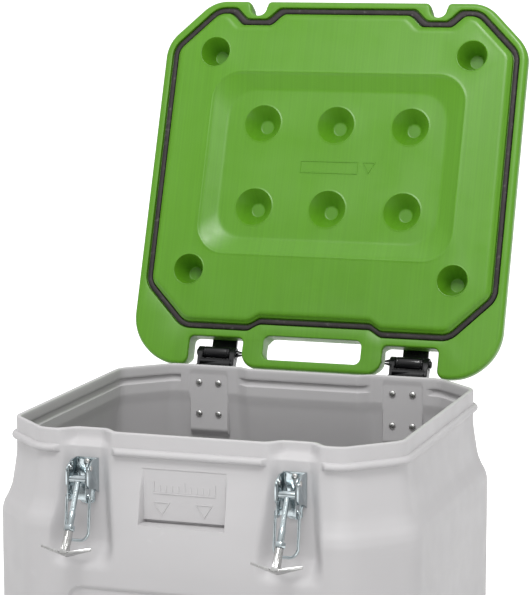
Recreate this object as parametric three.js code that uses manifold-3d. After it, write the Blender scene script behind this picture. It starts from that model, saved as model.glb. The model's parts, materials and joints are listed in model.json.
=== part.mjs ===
// Salvage container: a moulded square tub with a hinged double-wall lid, a rim gasket,
// two plastic hinges and two over-centre latches with swinging T-bolts.
// Millimetres, +Z up. X runs left to right, the latches face -Y and the hinges are at +Y.
// The origin is the middle of the base, on the ground. The lid stands open, the latches hang down.
import * as THREE from 'three';
import { mergeVertices } from 'three/addons/utils/BufferGeometryUtils.js';
import Module from 'manifold-3d';

const wasm = await Module();
wasm.setup();

// ---- driving dimensions ----
const RIM_Z = 720;
const WALL = 6;
const HALF_WALL = WALL / 2;
const GAP = 0.3;

// plan of the rim's middle line: an octagon with rounded corners
const RIM_PLAN = {
  halfX: 275.5, front: 254, rear: 254, frontCut: 64, rearCut: 64, frontRadius: 30, rearRadius: 30,
};
const BULGE = 24.5;
const BASE_DRAFT = 2;

// the tub's wall steps in at each latch, and at the rim between the hinges
const LATCH_X = 146;
const LATCH_RIM_Y = 238.6;
const LATCH_SEAT_Y = 250;
const RECESS_BEND = { seatTop: -12, seatStart: -24, rampTop: -150, rampEnd: -186 };
const RECESS_STATIONS = [0, 14, 20, 26, 33, 41, 52];
const REAR_JOG = { depth: 11, from: 84, to: 109, fadeTop: -41, fadeEnd: -121 };

// base: three runners with two fork channels between them
const CHANNEL = { x: 135, halfWidth: 60, height: 48, radius: 12 };

// front panels
const LABEL = { x: -6, halfX: 58.5, top: -46, floorEnd: -116, bottom: -121, faceY: -257, wall: 5 };
const PANEL = { halfX: 168, top: -208, bottom: -560, depth: 3, radius: 24 };

// hinges
const HINGE_X = 153.3;
const HINGE_Y = 294;
const HINGE_Z = 12;
const OPEN_DEG = 110.3;
const KNUCKLE = { radius: 9.5, halfLid: 21, halfBarrel: 30.5 };
const PIN_RADIUS = 4;
const SEAT = { halfX: 26, y: 257, top: -3, bottom: -95, headHalfX: 33, headBottom: -52 };
const PAD = { halfX: 31, thickness: 6, top: -9, bottom: -101, radius: 8 };
const LEAF = { halfX: 25, thickness: 6, top: -3.5, bottom: -93 };
const RIVETS = { halfSpacingX: 15.6, rows: [-27, -75.5], radius: 2.6, headRadius: 5.4 };

// lid, heights measured up from the rim's top
const LID_PLAN = {
  halfX: 292.5, front: 270, rear: 316, frontCut: 71, rearCut: 46, frontRadius: 55, rearRadius: 75,
};
const LID_TOP = 38;
const LID_FLANGE = -1.5;
const LID_SKIN = 5;
const PLATEAU_Z = -7;
const PANEL_RECESS = { halfX: 204, front: -153, rear: 140, slope: 27, z: 3, radius: 46 };
const GROOVE = { halfWidth: 5.5, z: 5.5 };
const GASKET = { halfWidth: 3.8, low: 0.4, high: 5.2 };
const NOTCH = { inner: 111, outer: 198, front: 271, radius: 8, lobeRadius: 12, handleRadius: 22 };
const HANDLE_HOLE = { halfX: 77.5, front: 265.5, rear: 302, radius: 10 };
const HANDLE_TOP = 28;
const SLOT = { halfMouth: 14, radius: 12.5, end: -247 };
const STRAP = { y: 206, thickness: 5, screws: [220, 250] };
const VENT = { y: 200, radius: 3 };

// latches, in the plane of each latch: A is the lever's pivot, B the trunnion's
const PIVOT_A = { y: -279, z: -46.5 };
const PIVOT_B = { y: -283, z: -61.2 };
const LEVER_TILT = 7.5;
const BOLT_TILT = 29;
const BOLT_TRAVEL = 166;
const EAR = { inner: 14.1, outer: 16.3 };
const CHEEK = { inner: 12, outer: 13.8 };
const BAIL = { x: 15.9, radius: 1.8, top: 36, bottom: 96.5, corner: 12, bend: 3.9 };
const ROD_RADIUS = 4;
const HOOK = { nut: 65, sleeve: 71.5, plate: 102, thickness: 3, halfWidth: 35, sweep: 15 };

// ---- materials ----
const look = (color, roughness, metalness) =>
  new THREE.MeshStandardMaterial({ color, roughness, metalness });
const TUB_GREY = look(0xb9b8bb, 0.55, 0);
const LID_GREEN = look(0x6aaa3e, 0.5, 0);
const RUBBER = look(0x3a3438, 0.7, 0);
const BLACK_PLASTIC = look(0x15161a, 0.35, 0);
const ZINC = look(0xb8c0c4, 0.3, 0.9);
const STEEL = look(0x9a9da0, 0.4, 0.9);

// ---- helpers: solids and shapes ----
const rad = THREE.MathUtils.degToRad;
const lerp = THREE.MathUtils.lerp;
const smooth = (x, from, to) => THREE.MathUtils.smoothstep((x - from) / (to - from), 0, 1);
const CORNER_SEGMENTS = 3;
const CURVE_SEGMENTS = 2;
const SIDES = [['left', -1], ['right', 1]];

function solid(geometry) {
  const bare = new THREE.BufferGeometry();
  bare.setAttribute('position', geometry.getAttribute('position'));
  bare.setIndex(geometry.getIndex());
  const merged = mergeVertices(bare, 1e-4);
  const triVerts = [];
  for (let i = 0; i < merged.index.count; i += 3) {
    const [a, b, c] = merged.index.array.slice(i, i + 3);
    if (a !== b && b !== c && c !== a) triVerts.push(a, b, c);
  }
  return new wasm.Manifold(new wasm.Mesh({
    numProp: 3,
    vertProperties: merged.attributes.position.array,
    triVerts: new Uint32Array(triVerts),
  }));
}

function geometryOf(manifold) {
  const mesh = manifold.getMesh();
  const geometry = new THREE.BufferGeometry();
  geometry.setAttribute('position', new THREE.BufferAttribute(new Float32Array(mesh.vertProperties), 3));
  geometry.setIndex(new THREE.BufferAttribute(new Uint32Array(mesh.triVerts), 1));
  geometry.computeVertexNormals();
  return geometry;
}

function addNode(group, name, shape, material) {
  const geometry = shape.isBufferGeometry ? shape : geometryOf(shape);
  const mesh = new THREE.Mesh(geometry, material);
  mesh.name = name;
  group.add(mesh);
  return mesh;
}

// A closed skin over a stack of rings with equal point counts, capped at both ends.
function skin(rings) {
  const count = rings[0].length;
  const positions = rings.flat().flatMap((p) => [p.x, p.y, p.z]);
  const index = [];
  for (let k = 0; k + 1 < rings.length; k += 1) {
    for (let i = 0; i < count; i += 1) {
      const a = k * count + i;
      const b = k * count + ((i + 1) % count);
      index.push(a, b, b + count, a, b + count, a + count);
    }
  }
  const cap = (k) => THREE.ShapeUtils.triangulateShape(rings[k].map((p) => new THREE.Vector2(p.x, p.y)), [])
    .map((face) => face.map((i) => i + k * count));
  cap(0).forEach(([a, b, c]) => index.push(a, c, b));
  cap(rings.length - 1).forEach(([a, b, c]) => index.push(a, b, c));
  const geometry = new THREE.BufferGeometry();
  geometry.setAttribute('position', new THREE.Float32BufferAttribute(positions, 3));
  geometry.setIndex(index);
  return solid(geometry);
}

const polygon = (points) => new THREE.Shape(points.map(([a, b]) => new THREE.Vector2(a, b)));

function roundedRect(left, low, right, high, radius) {
  const shape = new THREE.Shape();
  shape.moveTo(left + radius, low);
  shape.absarc(right - radius, low + radius, radius, -Math.PI / 2, 0);
  shape.absarc(right - radius, high - radius, radius, 0, Math.PI / 2);
  shape.absarc(left + radius, high - radius, radius, Math.PI / 2, Math.PI);
  shape.absarc(left + radius, low + radius, radius, Math.PI, 1.5 * Math.PI);
  return shape;
}

const extrude = (shape, depth, curveSegments = CURVE_SEGMENTS) =>
  new THREE.ExtrudeGeometry(shape, { depth, bevelEnabled: false, curveSegments });

// Prisms of a shape drawn in the other two axes, between two values of the named axis.
const alongZ = (shape, low, high, segments) => extrude(shape, high - low, segments).translate(0, 0, low);
const alongY = (shape, low, high, segments) =>
  extrude(shape, high - low, segments).rotateX(Math.PI / 2).translate(0, high, 0);
const YZX = new THREE.Matrix4().makeBasis(
  new THREE.Vector3(0, 1, 0),
  new THREE.Vector3(0, 0, 1),
  new THREE.Vector3(1, 0, 0),
);
const alongX = (shape, low, high, segments) =>
  extrude(shape, high - low, segments).applyMatrix4(YZX).translate(low, 0, 0);

const rodX = (radius, low, high, y, z, sides) =>
  new THREE.CylinderGeometry(radius, radius, high - low, sides)
    .rotateZ(-Math.PI / 2)
    .translate((low + high) / 2, y, z);
const rodY = (radius, low, high, x, z, sides) =>
  new THREE.CylinderGeometry(radius, radius, high - low, sides).translate(x, (low + high) / 2, z);
const rodZ = (radius, low, high, x, y, sides) =>
  new THREE.CylinderGeometry(radius, radius, high - low, sides)
    .rotateX(Math.PI / 2)
    .translate(x, y, (low + high) / 2);

const union = (parts) => parts.reduce((all, part) => all.add(part));
const cutAll = (body, cutters) => cutters.reduce((left, cutter) => left.subtract(cutter), body);

// ---- plans: octagons with rounded corners, drawn as eight arcs about fixed centres ----
function cornerArcs({ halfX, front, rear, frontCut, rearCut, frontRadius, rearRadius }) {
  const slip = Math.tan(Math.PI / 8);
  const right = [
    { x: halfX - frontCut - frontRadius * slip, y: -front + frontRadius, radius: frontRadius, turn: -90 },
    { x: halfX - frontRadius, y: -front + frontCut + frontRadius * slip, radius: frontRadius, turn: -45 },
    { x: halfX - rearRadius, y: rear - rearCut - rearRadius * slip, radius: rearRadius, turn: 0 },
    { x: halfX - rearCut - rearRadius * slip, y: rear - rearRadius, radius: rearRadius, turn: 45 },
  ];
  const left = right.map((arc) => ({ ...arc, x: -arc.x, turn: 135 - arc.turn })).reverse();
  return [right, left];
}

function arcPoints(arcs, offset, z) {
  return arcs.flatMap((arc) => Array.from({ length: CORNER_SEGMENTS + 1 }, (_, i) => {
    const angle = rad(arc.turn + (45 * i) / CORNER_SEGMENTS);
    const radius = arc.radius + offset;
    return new THREE.Vector3(arc.x + radius * Math.cos(angle), arc.y + radius * Math.sin(angle), z);
  }));
}

function plan(shape, offset, z) {
  return cornerArcs(shape).flatMap((half) => arcPoints(half, offset, z));
}

// How far the front wall stands from the middle, at x, where its plain face stands at face.
function frontAt(x, down, face, wall) {
  const { seatTop, seatStart, rampTop, rampEnd } = RECESS_BEND;
  const seat = lerp(LATCH_RIM_Y, LATCH_SEAT_Y, smooth(down, seatTop, seatStart));
  const floor = lerp(seat, RIM_PLAN.front + BULGE, smooth(down, rampTop, rampEnd)) - wall;
  const drop = THREE.MathUtils.clamp(-down / 41, 0, 1);
  const reach = THREE.MathUtils.clamp((-down - 41) / 109, 0, 1);
  const mouth = 41 - 10 * drop + 13 * reach + wall * 0.8;
  const flat = 14 + 8 * drop + 8 * reach + wall * 0.8;
  const share = 1 - smooth(Math.abs(Math.abs(x) - LATCH_X), flat, mouth);
  return lerp(face, Math.min(floor, face), share);
}

// One level of the tub: down is measured from the rim's top, wall is the depth below the outer face.
function tubRing(offset, down, wall, z = RIM_Z + down) {
  const [right, left] = cornerArcs(RIM_PLAN);
  const stations = RECESS_STATIONS.flatMap((u) => (u ? [LATCH_X - u, LATCH_X + u] : [LATCH_X]));
  const frontX = [...stations.map((x) => -x), 0, ...stations].sort((a, b) => a - b);
  const face = RIM_PLAN.front + offset;
  const front = frontX.map((x) => new THREE.Vector3(x, -frontAt(x, down, face, wall), z));
  const fade = 1 - smooth(down, REAR_JOG.fadeTop, REAR_JOG.fadeEnd);
  const middle = (REAR_JOG.from + REAR_JOG.to) / 2;
  const rearX = [REAR_JOG.to, middle, REAR_JOG.from, 0, -REAR_JOG.from, -middle, -REAR_JOG.to];
  const rear = rearX.map((x) => {
    const jog = REAR_JOG.depth * fade * (1 - smooth(Math.abs(x), REAR_JOG.from, REAR_JOG.to));
    return new THREE.Vector3(x, RIM_PLAN.rear + offset - jog, z);
  });
  return [...front, ...arcPoints(right, offset, z), ...rear, ...arcPoints(left, offset, z)];
}

// The rim's own plan, moved sideways: the gasket, its groove and the lid's plug follow it.
const rimRing = (offset, z) => tubRing(offset, 0, HALF_WALL - offset, z);
const rimSlab = (offset, low, high) => skin([rimRing(offset, low), rimRing(offset, high)]);

// ---- tub ----
// Outer face: height below the rim and how far it stands out from the rim's middle line.
const SHOULDER = [
  [-186, BULGE], [-176, BULGE], [-164, BULGE], [-150, BULGE], [-133, BULGE],
  [-121, 22], [-108, 15.5], [-95, 10.5], [-82, 8], [-41, HALF_WALL],
];
const BEAD = [[-32, HALF_WALL], [-29.5, 8], [-26.5, 9.5], [-23.5, 8], [-21, HALF_WALL]];
const RIM_EDGE = [[-12, HALF_WALL], [-1.5, HALF_WALL], [0, 1.8]];

function buildTub() {
  const toBase = (z, offset) => [z - RIM_Z, offset];
  const foot = BULGE - BASE_DRAFT;
  const outerLevels = [
    toBase(0, foot - 14), toBase(4, foot - 5), toBase(14, foot), ...SHOULDER, ...BEAD, ...RIM_EDGE,
  ];
  const floorZ = WALL + 2;
  const innerLevels = [
    toBase(floorZ, foot - WALL - 12), toBase(floorZ + 12, foot - WALL),
    ...SHOULDER.map(([down, offset]) => [down, offset - WALL]),
    [-24, -HALF_WALL], [-12, -HALF_WALL], [0, -HALF_WALL], [4, -HALF_WALL],
  ];
  const outer = skin(outerLevels.map(([down, offset]) => tubRing(offset, down, 0)));
  const cavity = skin(innerLevels.map(([down, offset]) => tubRing(offset, down, WALL)));

  const channel = (grow, reach) => {
    const { x, halfWidth, height, radius } = CHANNEL;
    const half = halfWidth + grow;
    return union(SIDES.map(([, side]) => solid(alongY(
      roundedRect(side * x - half, -100, side * x + half, height + grow, radius), -reach, reach,
    ))));
  };
  const shell = outer.subtract(cavity.subtract(channel(WALL, 400))).subtract(channel(0, 400));

  // pads behind the label and the hinge leaves keep the wall's thickness
  const padHalf = LABEL.halfX + LABEL.wall;
  const labelPad = solid(alongY(
    roundedRect(-padHalf, LABEL.bottom - LABEL.wall, padHalf, LABEL.top + LABEL.wall, 4),
    -300, LABEL.faceY + WALL,
  ).translate(LABEL.x, 0, RIM_Z));
  const hingePads = [-1, 1].map((side) => solid(alongY(
    roundedRect(side * HINGE_X - PAD.halfX, PAD.bottom, side * HINGE_X + PAD.halfX, PAD.top, PAD.radius),
    SEAT.y - PAD.thickness, 300,
  ).translate(0, 0, RIM_Z)));
  const pads = union([labelPad, ...hingePads]).intersect(outer);

  const labelCut = solid(alongX(polygon([
    [LABEL.faceY, LABEL.top], [-330, LABEL.top], [-330, LABEL.bottom - 2], [-280, LABEL.bottom - 2],
    [LABEL.faceY, LABEL.floorEnd],
  ]), -LABEL.halfX, LABEL.halfX).translate(LABEL.x, 0, RIM_Z));
  const panelFace = -(RIM_PLAN.front + BULGE - PANEL.depth);
  const panelCut = solid(alongY(
    roundedRect(-PANEL.halfX, PANEL.bottom, PANEL.halfX, PANEL.top, PANEL.radius),
    -330, panelFace,
  ).translate(0, 0, RIM_Z));
  const seats = SIDES.flatMap(([, side]) => [[SEAT.halfX, SEAT.bottom], [SEAT.headHalfX, SEAT.headBottom]]
    .map(([halfX, bottom]) => solid(alongY(
      roundedRect(side * HINGE_X - halfX, bottom, side * HINGE_X + halfX, SEAT.top, 3),
      SEAT.y, 330,
    ).translate(0, 0, RIM_Z))));

  const holes = [];
  for (const side of [-1, 1]) {
    hingeRivetPlaces(side).forEach(([x, z]) => {
      holes.push(solid(rodY(RIVETS.radius + GAP, 200, 300, x, RIM_Z + z, 8)));
    });
    LATCH_RIVET_Z.forEach((z) => {
      holes.push(solid(rodY(LATCH_RIVET.radius + GAP, -300, -200, side * LATCH_X, RIM_Z + z, 8)));
    });
  }
  return cutAll(shell.add(pads), [labelCut, panelCut, ...seats, ...holes]);
}

// ---- hinge-to-tub rivets: headed on both faces of the wall ----
function hingeRivetPlaces(side) {
  return RIVETS.rows.flatMap((z) => [-1, 1].map((end) => [side * HINGE_X + end * RIVETS.halfSpacingX, z]));
}

// A two-headed rivet about +Y, from the face at low to the face at high.
function rivet(radius, headRadius, headHeight, low, high, sides = 8) {
  const profile = [
    [0, low - headHeight], [headRadius * 0.6, low - headHeight * 0.8], [headRadius, low - GAP],
    [radius, low - GAP], [radius, high + GAP], [headRadius, high + GAP],
    [headRadius * 0.6, high + headHeight * 0.8], [0, high + headHeight],
  ];
  return new THREE.LatheGeometry(profile.map(([r, y]) => new THREE.Vector2(r, y)), sides);
}

// ---- latch-to-tub rivets ----
const LATCH_RIVET = { radius: 2.4, headRadius: 4.6 };
const LATCH_RIVET_Z = [-44, -91.5];
const LATCH_PLATE = { thickness: 2.5, top: -37.5, bottom: -100 };

// ---- hinges ----
function buildBodyLeaf() {
  const back = SEAT.y + GAP;
  const face = back + LEAF.thickness;
  const plate = solid(alongX(polygon([
    [back, LEAF.bottom], [face, LEAF.bottom], [face, -19], [283, -9], [286, LEAF.top], [back, LEAF.top],
  ]), -LEAF.halfX, LEAF.halfX));
  const ears = [[-KNUCKLE.halfBarrel, -KNUCKLE.halfLid - GAP], [KNUCKLE.halfLid + GAP, KNUCKLE.halfBarrel]]
    .map(([low, high]) => {
      const web = solid(alongX(polygon([
        [face - 1, -48], [300, 4], [303, HINGE_Z], [HINGE_Y - KNUCKLE.radius, HINGE_Z], [280, LEAF.top],
        [face - 1, LEAF.top],
      ]), low, high));
      return web.add(solid(rodX(KNUCKLE.radius, low, high, HINGE_Y, HINGE_Z, 16)));
    });
  const holes = hingeRivetPlaces(0).map(([x, z]) => solid(rodY(RIVETS.radius + GAP, 200, 300, x, z, 8)));
  const bore = solid(rodX(PIN_RADIUS + GAP, -60, 60, HINGE_Y, HINGE_Z, 12));
  return cutAll(union([plate, ...ears]), [bore, ...holes]);
}

function buildLidLeaf() {
  const under = LID_TOP + GAP;
  const over = under + STRAP.thickness;
  const strap = solid(alongX(polygon([
    [HINGE_Y - 6, HINGE_Z], [HINGE_Y + 6, HINGE_Z], [HINGE_Y + 6, under], [HINGE_Y + 2, over],
    [STRAP.y + 3, over], [STRAP.y, under + 2], [STRAP.y, under], [HINGE_Y - 8, under],
    [HINGE_Y - 6, under - 3],
  ]), -KNUCKLE.halfLid, KNUCKLE.halfLid));
  const knuckle = solid(rodX(KNUCKLE.radius, -KNUCKLE.halfLid, KNUCKLE.halfLid, HINGE_Y, HINGE_Z, 16));
  const bore = solid(rodX(PIN_RADIUS + GAP, -60, 60, HINGE_Y, HINGE_Z, 12));
  const holes = strapScrewPlaces().map(([x, y]) => solid(rodZ(SCREW.radius + GAP, 30, 60, x, y, 8)));
  return cutAll(strap.add(knuckle), [bore, ...holes]);
}

// The pin is headed outside and split into two barbed prongs inside; side is +1 on the right.
function buildHingePin(side) {
  const tip = KNUCKLE.halfBarrel + 9;
  const profile = [
    [0, -KNUCKLE.halfBarrel - 3], [5.5, -KNUCKLE.halfBarrel - 3], [5.5, -KNUCKLE.halfBarrel - GAP],
    [PIN_RADIUS, -KNUCKLE.halfBarrel - GAP], [PIN_RADIUS, KNUCKLE.halfBarrel + GAP],
    [PIN_RADIUS + 1.2, KNUCKLE.halfBarrel + GAP], [PIN_RADIUS - 1, tip], [0, tip],
  ];
  const pin = new THREE.LatheGeometry(profile.map(([r, y]) => new THREE.Vector2(r, y)), 12)
    .rotateZ(side * Math.PI / 2)
    .translate(0, HINGE_Y, HINGE_Z);
  const slit = new THREE.BoxGeometry(14, 20, 2)
    .translate(-side * (tip - 4), HINGE_Y, HINGE_Z);
  return solid(pin).subtract(solid(slit));
}

// ---- lid ----
const SCREW = { radius: 2.5, headRadius: 5, halfSpacingX: 13, depth: 15 };

function strapScrewPlaces() {
  return STRAP.screws.flatMap((y) => [-1, 1].map((end) => [end * SCREW.halfSpacingX, y]));
}

function notchShape(side) {
  const { inner, outer, front, radius, lobeRadius, handleRadius } = NOTCH;
  const rear = LID_PLAN.rear;
  const shape = new THREE.Shape();
  shape.moveTo(inner - handleRadius, rear + 20);
  shape.lineTo(inner - handleRadius, rear);
  shape.absarc(inner - handleRadius, rear - handleRadius, handleRadius, Math.PI / 2, 0, true);
  shape.absarc(inner + radius, front + radius, radius, Math.PI, 1.5 * Math.PI);
  shape.absarc(outer - radius, front + radius, radius, 1.5 * Math.PI, 2 * Math.PI);
  shape.absarc(outer + lobeRadius, rear - lobeRadius, lobeRadius, Math.PI, Math.PI / 2, true);
  shape.lineTo(outer + lobeRadius, rear + 20);
  return new THREE.Shape(shape.getPoints(CURVE_SEGMENTS).map((p) => new THREE.Vector2(side * p.x, p.y)));
}

function slotShape(grow) {
  const { halfMouth, radius, end } = SLOT;
  const shape = new THREE.Shape();
  const centre = end - radius;
  shape.moveTo(-halfMouth - grow, -300);
  shape.lineTo(halfMouth + grow, -300);
  shape.lineTo(halfMouth + grow, -LID_PLAN.front);
  shape.absarc(0, centre, radius + grow, 0, Math.PI);
  shape.lineTo(-halfMouth - grow, -LID_PLAN.front);
  return shape;
}

// A cone-shaped kiss-off between the skins: wide at low, narrow at high.
const cone = (wide, narrow, low, high, x, y) =>
  new THREE.CylinderGeometry(narrow, wide, high - low, 16).rotateX(Math.PI / 2).translate(x, y, (low + high) / 2);

const DIMPLES = [
  ...[-119, 0, 119].flatMap((x) => [-71.5, 62.5].map((y) => ({ x, y, radius: 29, low: PANEL_RECESS.z }))),
  ...[-1, 1].flatMap((side) => [
    { x: side * 207.5, y: -184, radius: 23.5, low: PLATEAU_Z },
    { x: side * 210.5, y: 167.5, radius: 23.5, low: PLATEAU_Z },
  ]),
];
const DIMPLE_FLOOR = { z: 29, radius: 11 };

function recessSlab(grow, low) {
  const { halfX, front, rear, slope, z, radius } = PANEL_RECESS;
  const level = (inset, height) => {
    const shape = roundedRect(-halfX + inset, front + inset, halfX - inset, rear - inset, radius);
    return shape.getPoints(3).slice(0, -1).map((p) => new THREE.Vector3(p.x, p.y, height));
  };
  return skin([level(-grow, low), level(-grow, PLATEAU_Z), level(slope - grow, z + grow)]);
}

function buildLid() {
  const levels = [
    [3, LID_FLANGE], [0.6, 0.6], [0, 3.5], [0, 13], [4.5, 28], [7, 34], [10.5, 37], [15, LID_TOP],
  ];
  const body = skin(levels.map(([inset, z]) => plan(LID_PLAN, -inset, z)));
  const plug = skin([rimRing(-15, PLATEAU_Z), rimRing(-10, -5.6), rimRing(-7.5, -2.5), rimRing(-7.5, 1)]);

  // hollow between the skins, kept clear of the rear rail, the slots, the strap blocks and the kiss-offs
  const high = LID_TOP - LID_SKIN;
  const rail = solid(new THREE.BoxGeometry(700, 200, 200).translate(0, 260 + 100, 0));
  const wide = skin([
    plan(LID_PLAN, -12, GROOVE.z + LID_SKIN), plan(LID_PLAN, -14, high - 6), plan(LID_PLAN, -22, high),
  ]).subtract(rail);
  const deep = rimSlab(-18, PLATEAU_Z + LID_SKIN, GROOVE.z + LID_SKIN + 1);
  const blocks = [
    recessSlab(LID_SKIN, PLATEAU_Z - 20),
    ...SIDES.flatMap(([, side]) => [
      solid(alongZ(slotShape(7), -50, 80, 6).translate(side * LATCH_X, 0, 0)),
      solid(new THREE.BoxGeometry(84, 44, 200).translate(side * LATCH_X, -266, 0)),
      solid(new THREE.BoxGeometry(54, 80, 200).translate(side * HINGE_X, 236, 0)),
    ]),
    ...DIMPLES.map(({ x, y, radius, low }) =>
      solid(cone(radius + LID_SKIN, DIMPLE_FLOOR.radius + LID_SKIN, low - 1, high + 3, x, y))),
  ];
  const hollow = cutAll(wide.add(deep), blocks);

  const groove = rimSlab(GROOVE.halfWidth, -9, GROOVE.z).subtract(rimSlab(-GROOVE.halfWidth, -20, 20));
  const { halfX, front, rear, radius: holeRadius } = HANDLE_HOLE;
  const handleHole = alongZ(roundedRect(-halfX, front, halfX, rear, holeRadius), -50, 80);
  const handleTop = new THREE.BoxGeometry(2 * NOTCH.inner + 20, 60, 40)
    .translate(0, 274 + 30, HANDLE_TOP + 20);
  const cutters = [
    hollow,
    groove,
    ...SIDES.map(([, side]) => solid(alongZ(notchShape(side), -50, 80))),
    solid(handleHole),
    solid(handleTop),
    recessSlab(0, PLATEAU_Z - 10),
    solid(rodZ(VENT.radius, 20, 60, 0, VENT.y, 10)),
    ...DIMPLES.map(({ x, y, radius, low }) =>
      solid(cone(radius, DIMPLE_FLOOR.radius, low - 1, DIMPLE_FLOOR.z, x, y))),
    ...SIDES.flatMap(([, side]) => [
      solid(alongZ(slotShape(0), -50, 80, 6).translate(side * LATCH_X, 0, 0)),
      hookSeat(side * LATCH_X),
      ...strapScrewPlaces().map(([x, y]) =>
        solid(rodZ(SCREW.radius + GAP, LID_TOP - SCREW.depth - 1, 60, x + side * HINGE_X, y, 8))),
    ]),
  ];
  return cutAll(body.add(plug), cutters);
}

// Where the T-bolt's hook lies on the lid: a pocket square to the bolt as it stands when latched.
function hookSeat(x) {
  const depth = 30;
  const floor = HOOK.plate - HOOK.halfWidth * Math.sin(rad(HOOK.sweep)) - 2 * GAP;
  const pocket = new THREE.BoxGeometry(2 * HOOK.halfWidth + 8, 24, depth)
    .translate(0, 0, -floor - depth / 2)
    .rotateX(-rad(BOLT_TILT + BOLT_TRAVEL))
    .translate(x, PIVOT_B.y, PIVOT_B.z);
  return solid(pocket);
}

function buildGasket() {
  const { halfWidth, low, high } = GASKET;
  return rimSlab(halfWidth, low, high).subtract(rimSlab(-halfWidth, -20, 20));
}

function buildVentPlug() {
  const profile = [
    [0, 31], [1.8, 31], [VENT.radius - GAP, 33], [VENT.radius - GAP, LID_TOP + GAP], [6.5, LID_TOP + GAP],
    [6.5, LID_TOP + 1.5], [4.5, LID_TOP + 2.8], [0, LID_TOP + 3.2],
  ];
  return new THREE.LatheGeometry(profile.map(([r, y]) => new THREE.Vector2(r, y)), 12)
    .rotateX(Math.PI / 2)
    .translate(0, VENT.y, 0);
}

function screw(x, y) {
  const head = LID_TOP + 2 * GAP + STRAP.thickness;
  const point = LID_TOP - SCREW.depth;
  const profile = [
    [0, point], [SCREW.radius * 0.5, point], [SCREW.radius, point + 2], [SCREW.radius, head],
    [SCREW.headRadius, head], [SCREW.headRadius, head + 1.6], [SCREW.headRadius * 0.6, head + 3],
    [0, head + 3],
  ];
  return new THREE.LatheGeometry(profile.map(([r, h]) => new THREE.Vector2(r, h)), 10)
    .rotateX(Math.PI / 2)
    .translate(x, y, 0);
}

// ---- latches ----
function buildLatchBase() {
  const seat = -LATCH_SEAT_Y - GAP;
  const face = seat - LATCH_PLATE.thickness;
  const plate = solid(alongY(
    roundedRect(-EAR.outer, LATCH_PLATE.bottom, EAR.outer, LATCH_PLATE.top, 3), face, seat, 2,
  ));
  const profile = polygon([
    [seat - 0.5, -85], [seat - 0.5, LATCH_PLATE.top], [-270, LATCH_PLATE.top], [-286, -44.5], [-288, -48.5],
    [-288, -68.5], [-284, -73.5], [-262, -78],
  ]);
  const ears = [[-EAR.outer, -EAR.inner], [EAR.inner, EAR.outer]]
    .map(([low, high]) => solid(alongX(profile, low, high)));
  const pivot = solid(rodX(LEVER_RIVET.radius + GAP, -40, 40, PIVOT_A.y, PIVOT_A.z, 10));
  const holes = LATCH_RIVET_Z.map((z) => solid(rodY(LATCH_RIVET.radius + GAP, -300, -200, 0, z, 8)));
  return cutAll(union([plate, ...ears]), [pivot, ...holes]);
}

// The lever's own frame has its pivot at the origin, -Z along the lever and -Y outwards.
const LEVER_RIVET = { radius: 2.4, headRadius: 3.8 };
const trunnionInLever = () => {
  const [dy, dz] = [PIVOT_B.y - PIVOT_A.y, PIVOT_B.z - PIVOT_A.z];
  const tilt = rad(LEVER_TILT);
  return { y: dy * Math.cos(tilt) - dz * Math.sin(tilt), z: dy * Math.sin(tilt) + dz * Math.cos(tilt) };
};

function buildLever() {
  const profile = polygon([
    [-4, 7], [3, 7.4], [7.5, 3], [8.6, -10], [8.6, -43], [5, -46], [-4.5, -46], [-7, -42], [-7, 3],
  ]);
  const cheeks = [[-CHEEK.outer, -CHEEK.inner], [CHEEK.inner, CHEEK.outer]]
    .map(([low, high]) => solid(alongX(profile, low, high)));
  const web = solid(new THREE.BoxGeometry(2 * CHEEK.inner + 1, 1.8, 18).translate(0, 7.7, -34));
  const b = trunnionInLever();
  const bores = [
    rodX(LEVER_RIVET.radius + GAP, -40, 40, 0, 0, 10),
    rodX(JOURNAL_RADIUS + GAP, -40, 40, b.y, b.z, 12),
    rodX(BAIL.radius + 4 * GAP, -40, 40, 0, -BAIL.top - 2 * GAP, 10),
  ].map(solid);
  return cutAll(union([...cheeks, web]), bores);
}

// The wire grip: its ends turn in through the lever's cheeks.
function buildBail() {
  const { x, radius, top, bottom, corner, bend } = BAIL;
  const path = new THREE.CurvePath();
  const at = (px, pz) => new THREE.Vector3(px, 0, pz);
  const arc = (cx, cz, r, from, to) => new THREE.CatmullRomCurve3(Array.from({ length: 4 }, (_, i) => {
    const angle = rad(lerp(from, to, i / 3));
    return at(cx + r * Math.cos(angle), cz + r * Math.sin(angle));
  }));
  path.add(new THREE.LineCurve3(at(10.8, -top), at(x - bend, -top)));
  path.add(arc(x - bend, -top - bend, bend, 90, 0));
  path.add(new THREE.LineCurve3(at(x, -top - bend), at(x, -bottom + corner)));
  path.add(arc(x - corner, -bottom + corner, corner, 0, -90));
  path.add(new THREE.LineCurve3(at(x - corner, -bottom), at(corner - x, -bottom)));
  path.add(arc(corner - x, -bottom + corner, corner, -90, -180));
  path.add(new THREE.LineCurve3(at(-x, -bottom + corner), at(-x, -top - bend)));
  path.add(arc(bend - x, -top - bend, bend, 180, 90));
  path.add(new THREE.LineCurve3(at(bend - x, -top), at(-10.8, -top)));
  const ring = new THREE.Shape();
  ring.absarc(0, 0, radius, 0, 2 * Math.PI);
  return new THREE.ExtrudeGeometry(ring, { steps: 48, extrudePath: path, curveSegments: 3 });
}

function leverRivet(side) {
  const { radius, headRadius } = LEVER_RIVET;
  const profile = [
    [0, CHEEK.inner - 1.4], [headRadius, CHEEK.inner - 1.4], [headRadius, CHEEK.inner - GAP],
    [radius, CHEEK.inner - GAP], [radius, EAR.outer + GAP], [headRadius, EAR.outer + GAP],
    [headRadius * 0.6, EAR.outer + 2], [0, EAR.outer + 2.2],
  ];
  return new THREE.LatheGeometry(profile.map(([r, y]) => new THREE.Vector2(r, y)), 10)
    .rotateZ(-side * Math.PI / 2)
    .translate(0, PIVOT_A.y, PIVOT_A.z);
}

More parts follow.
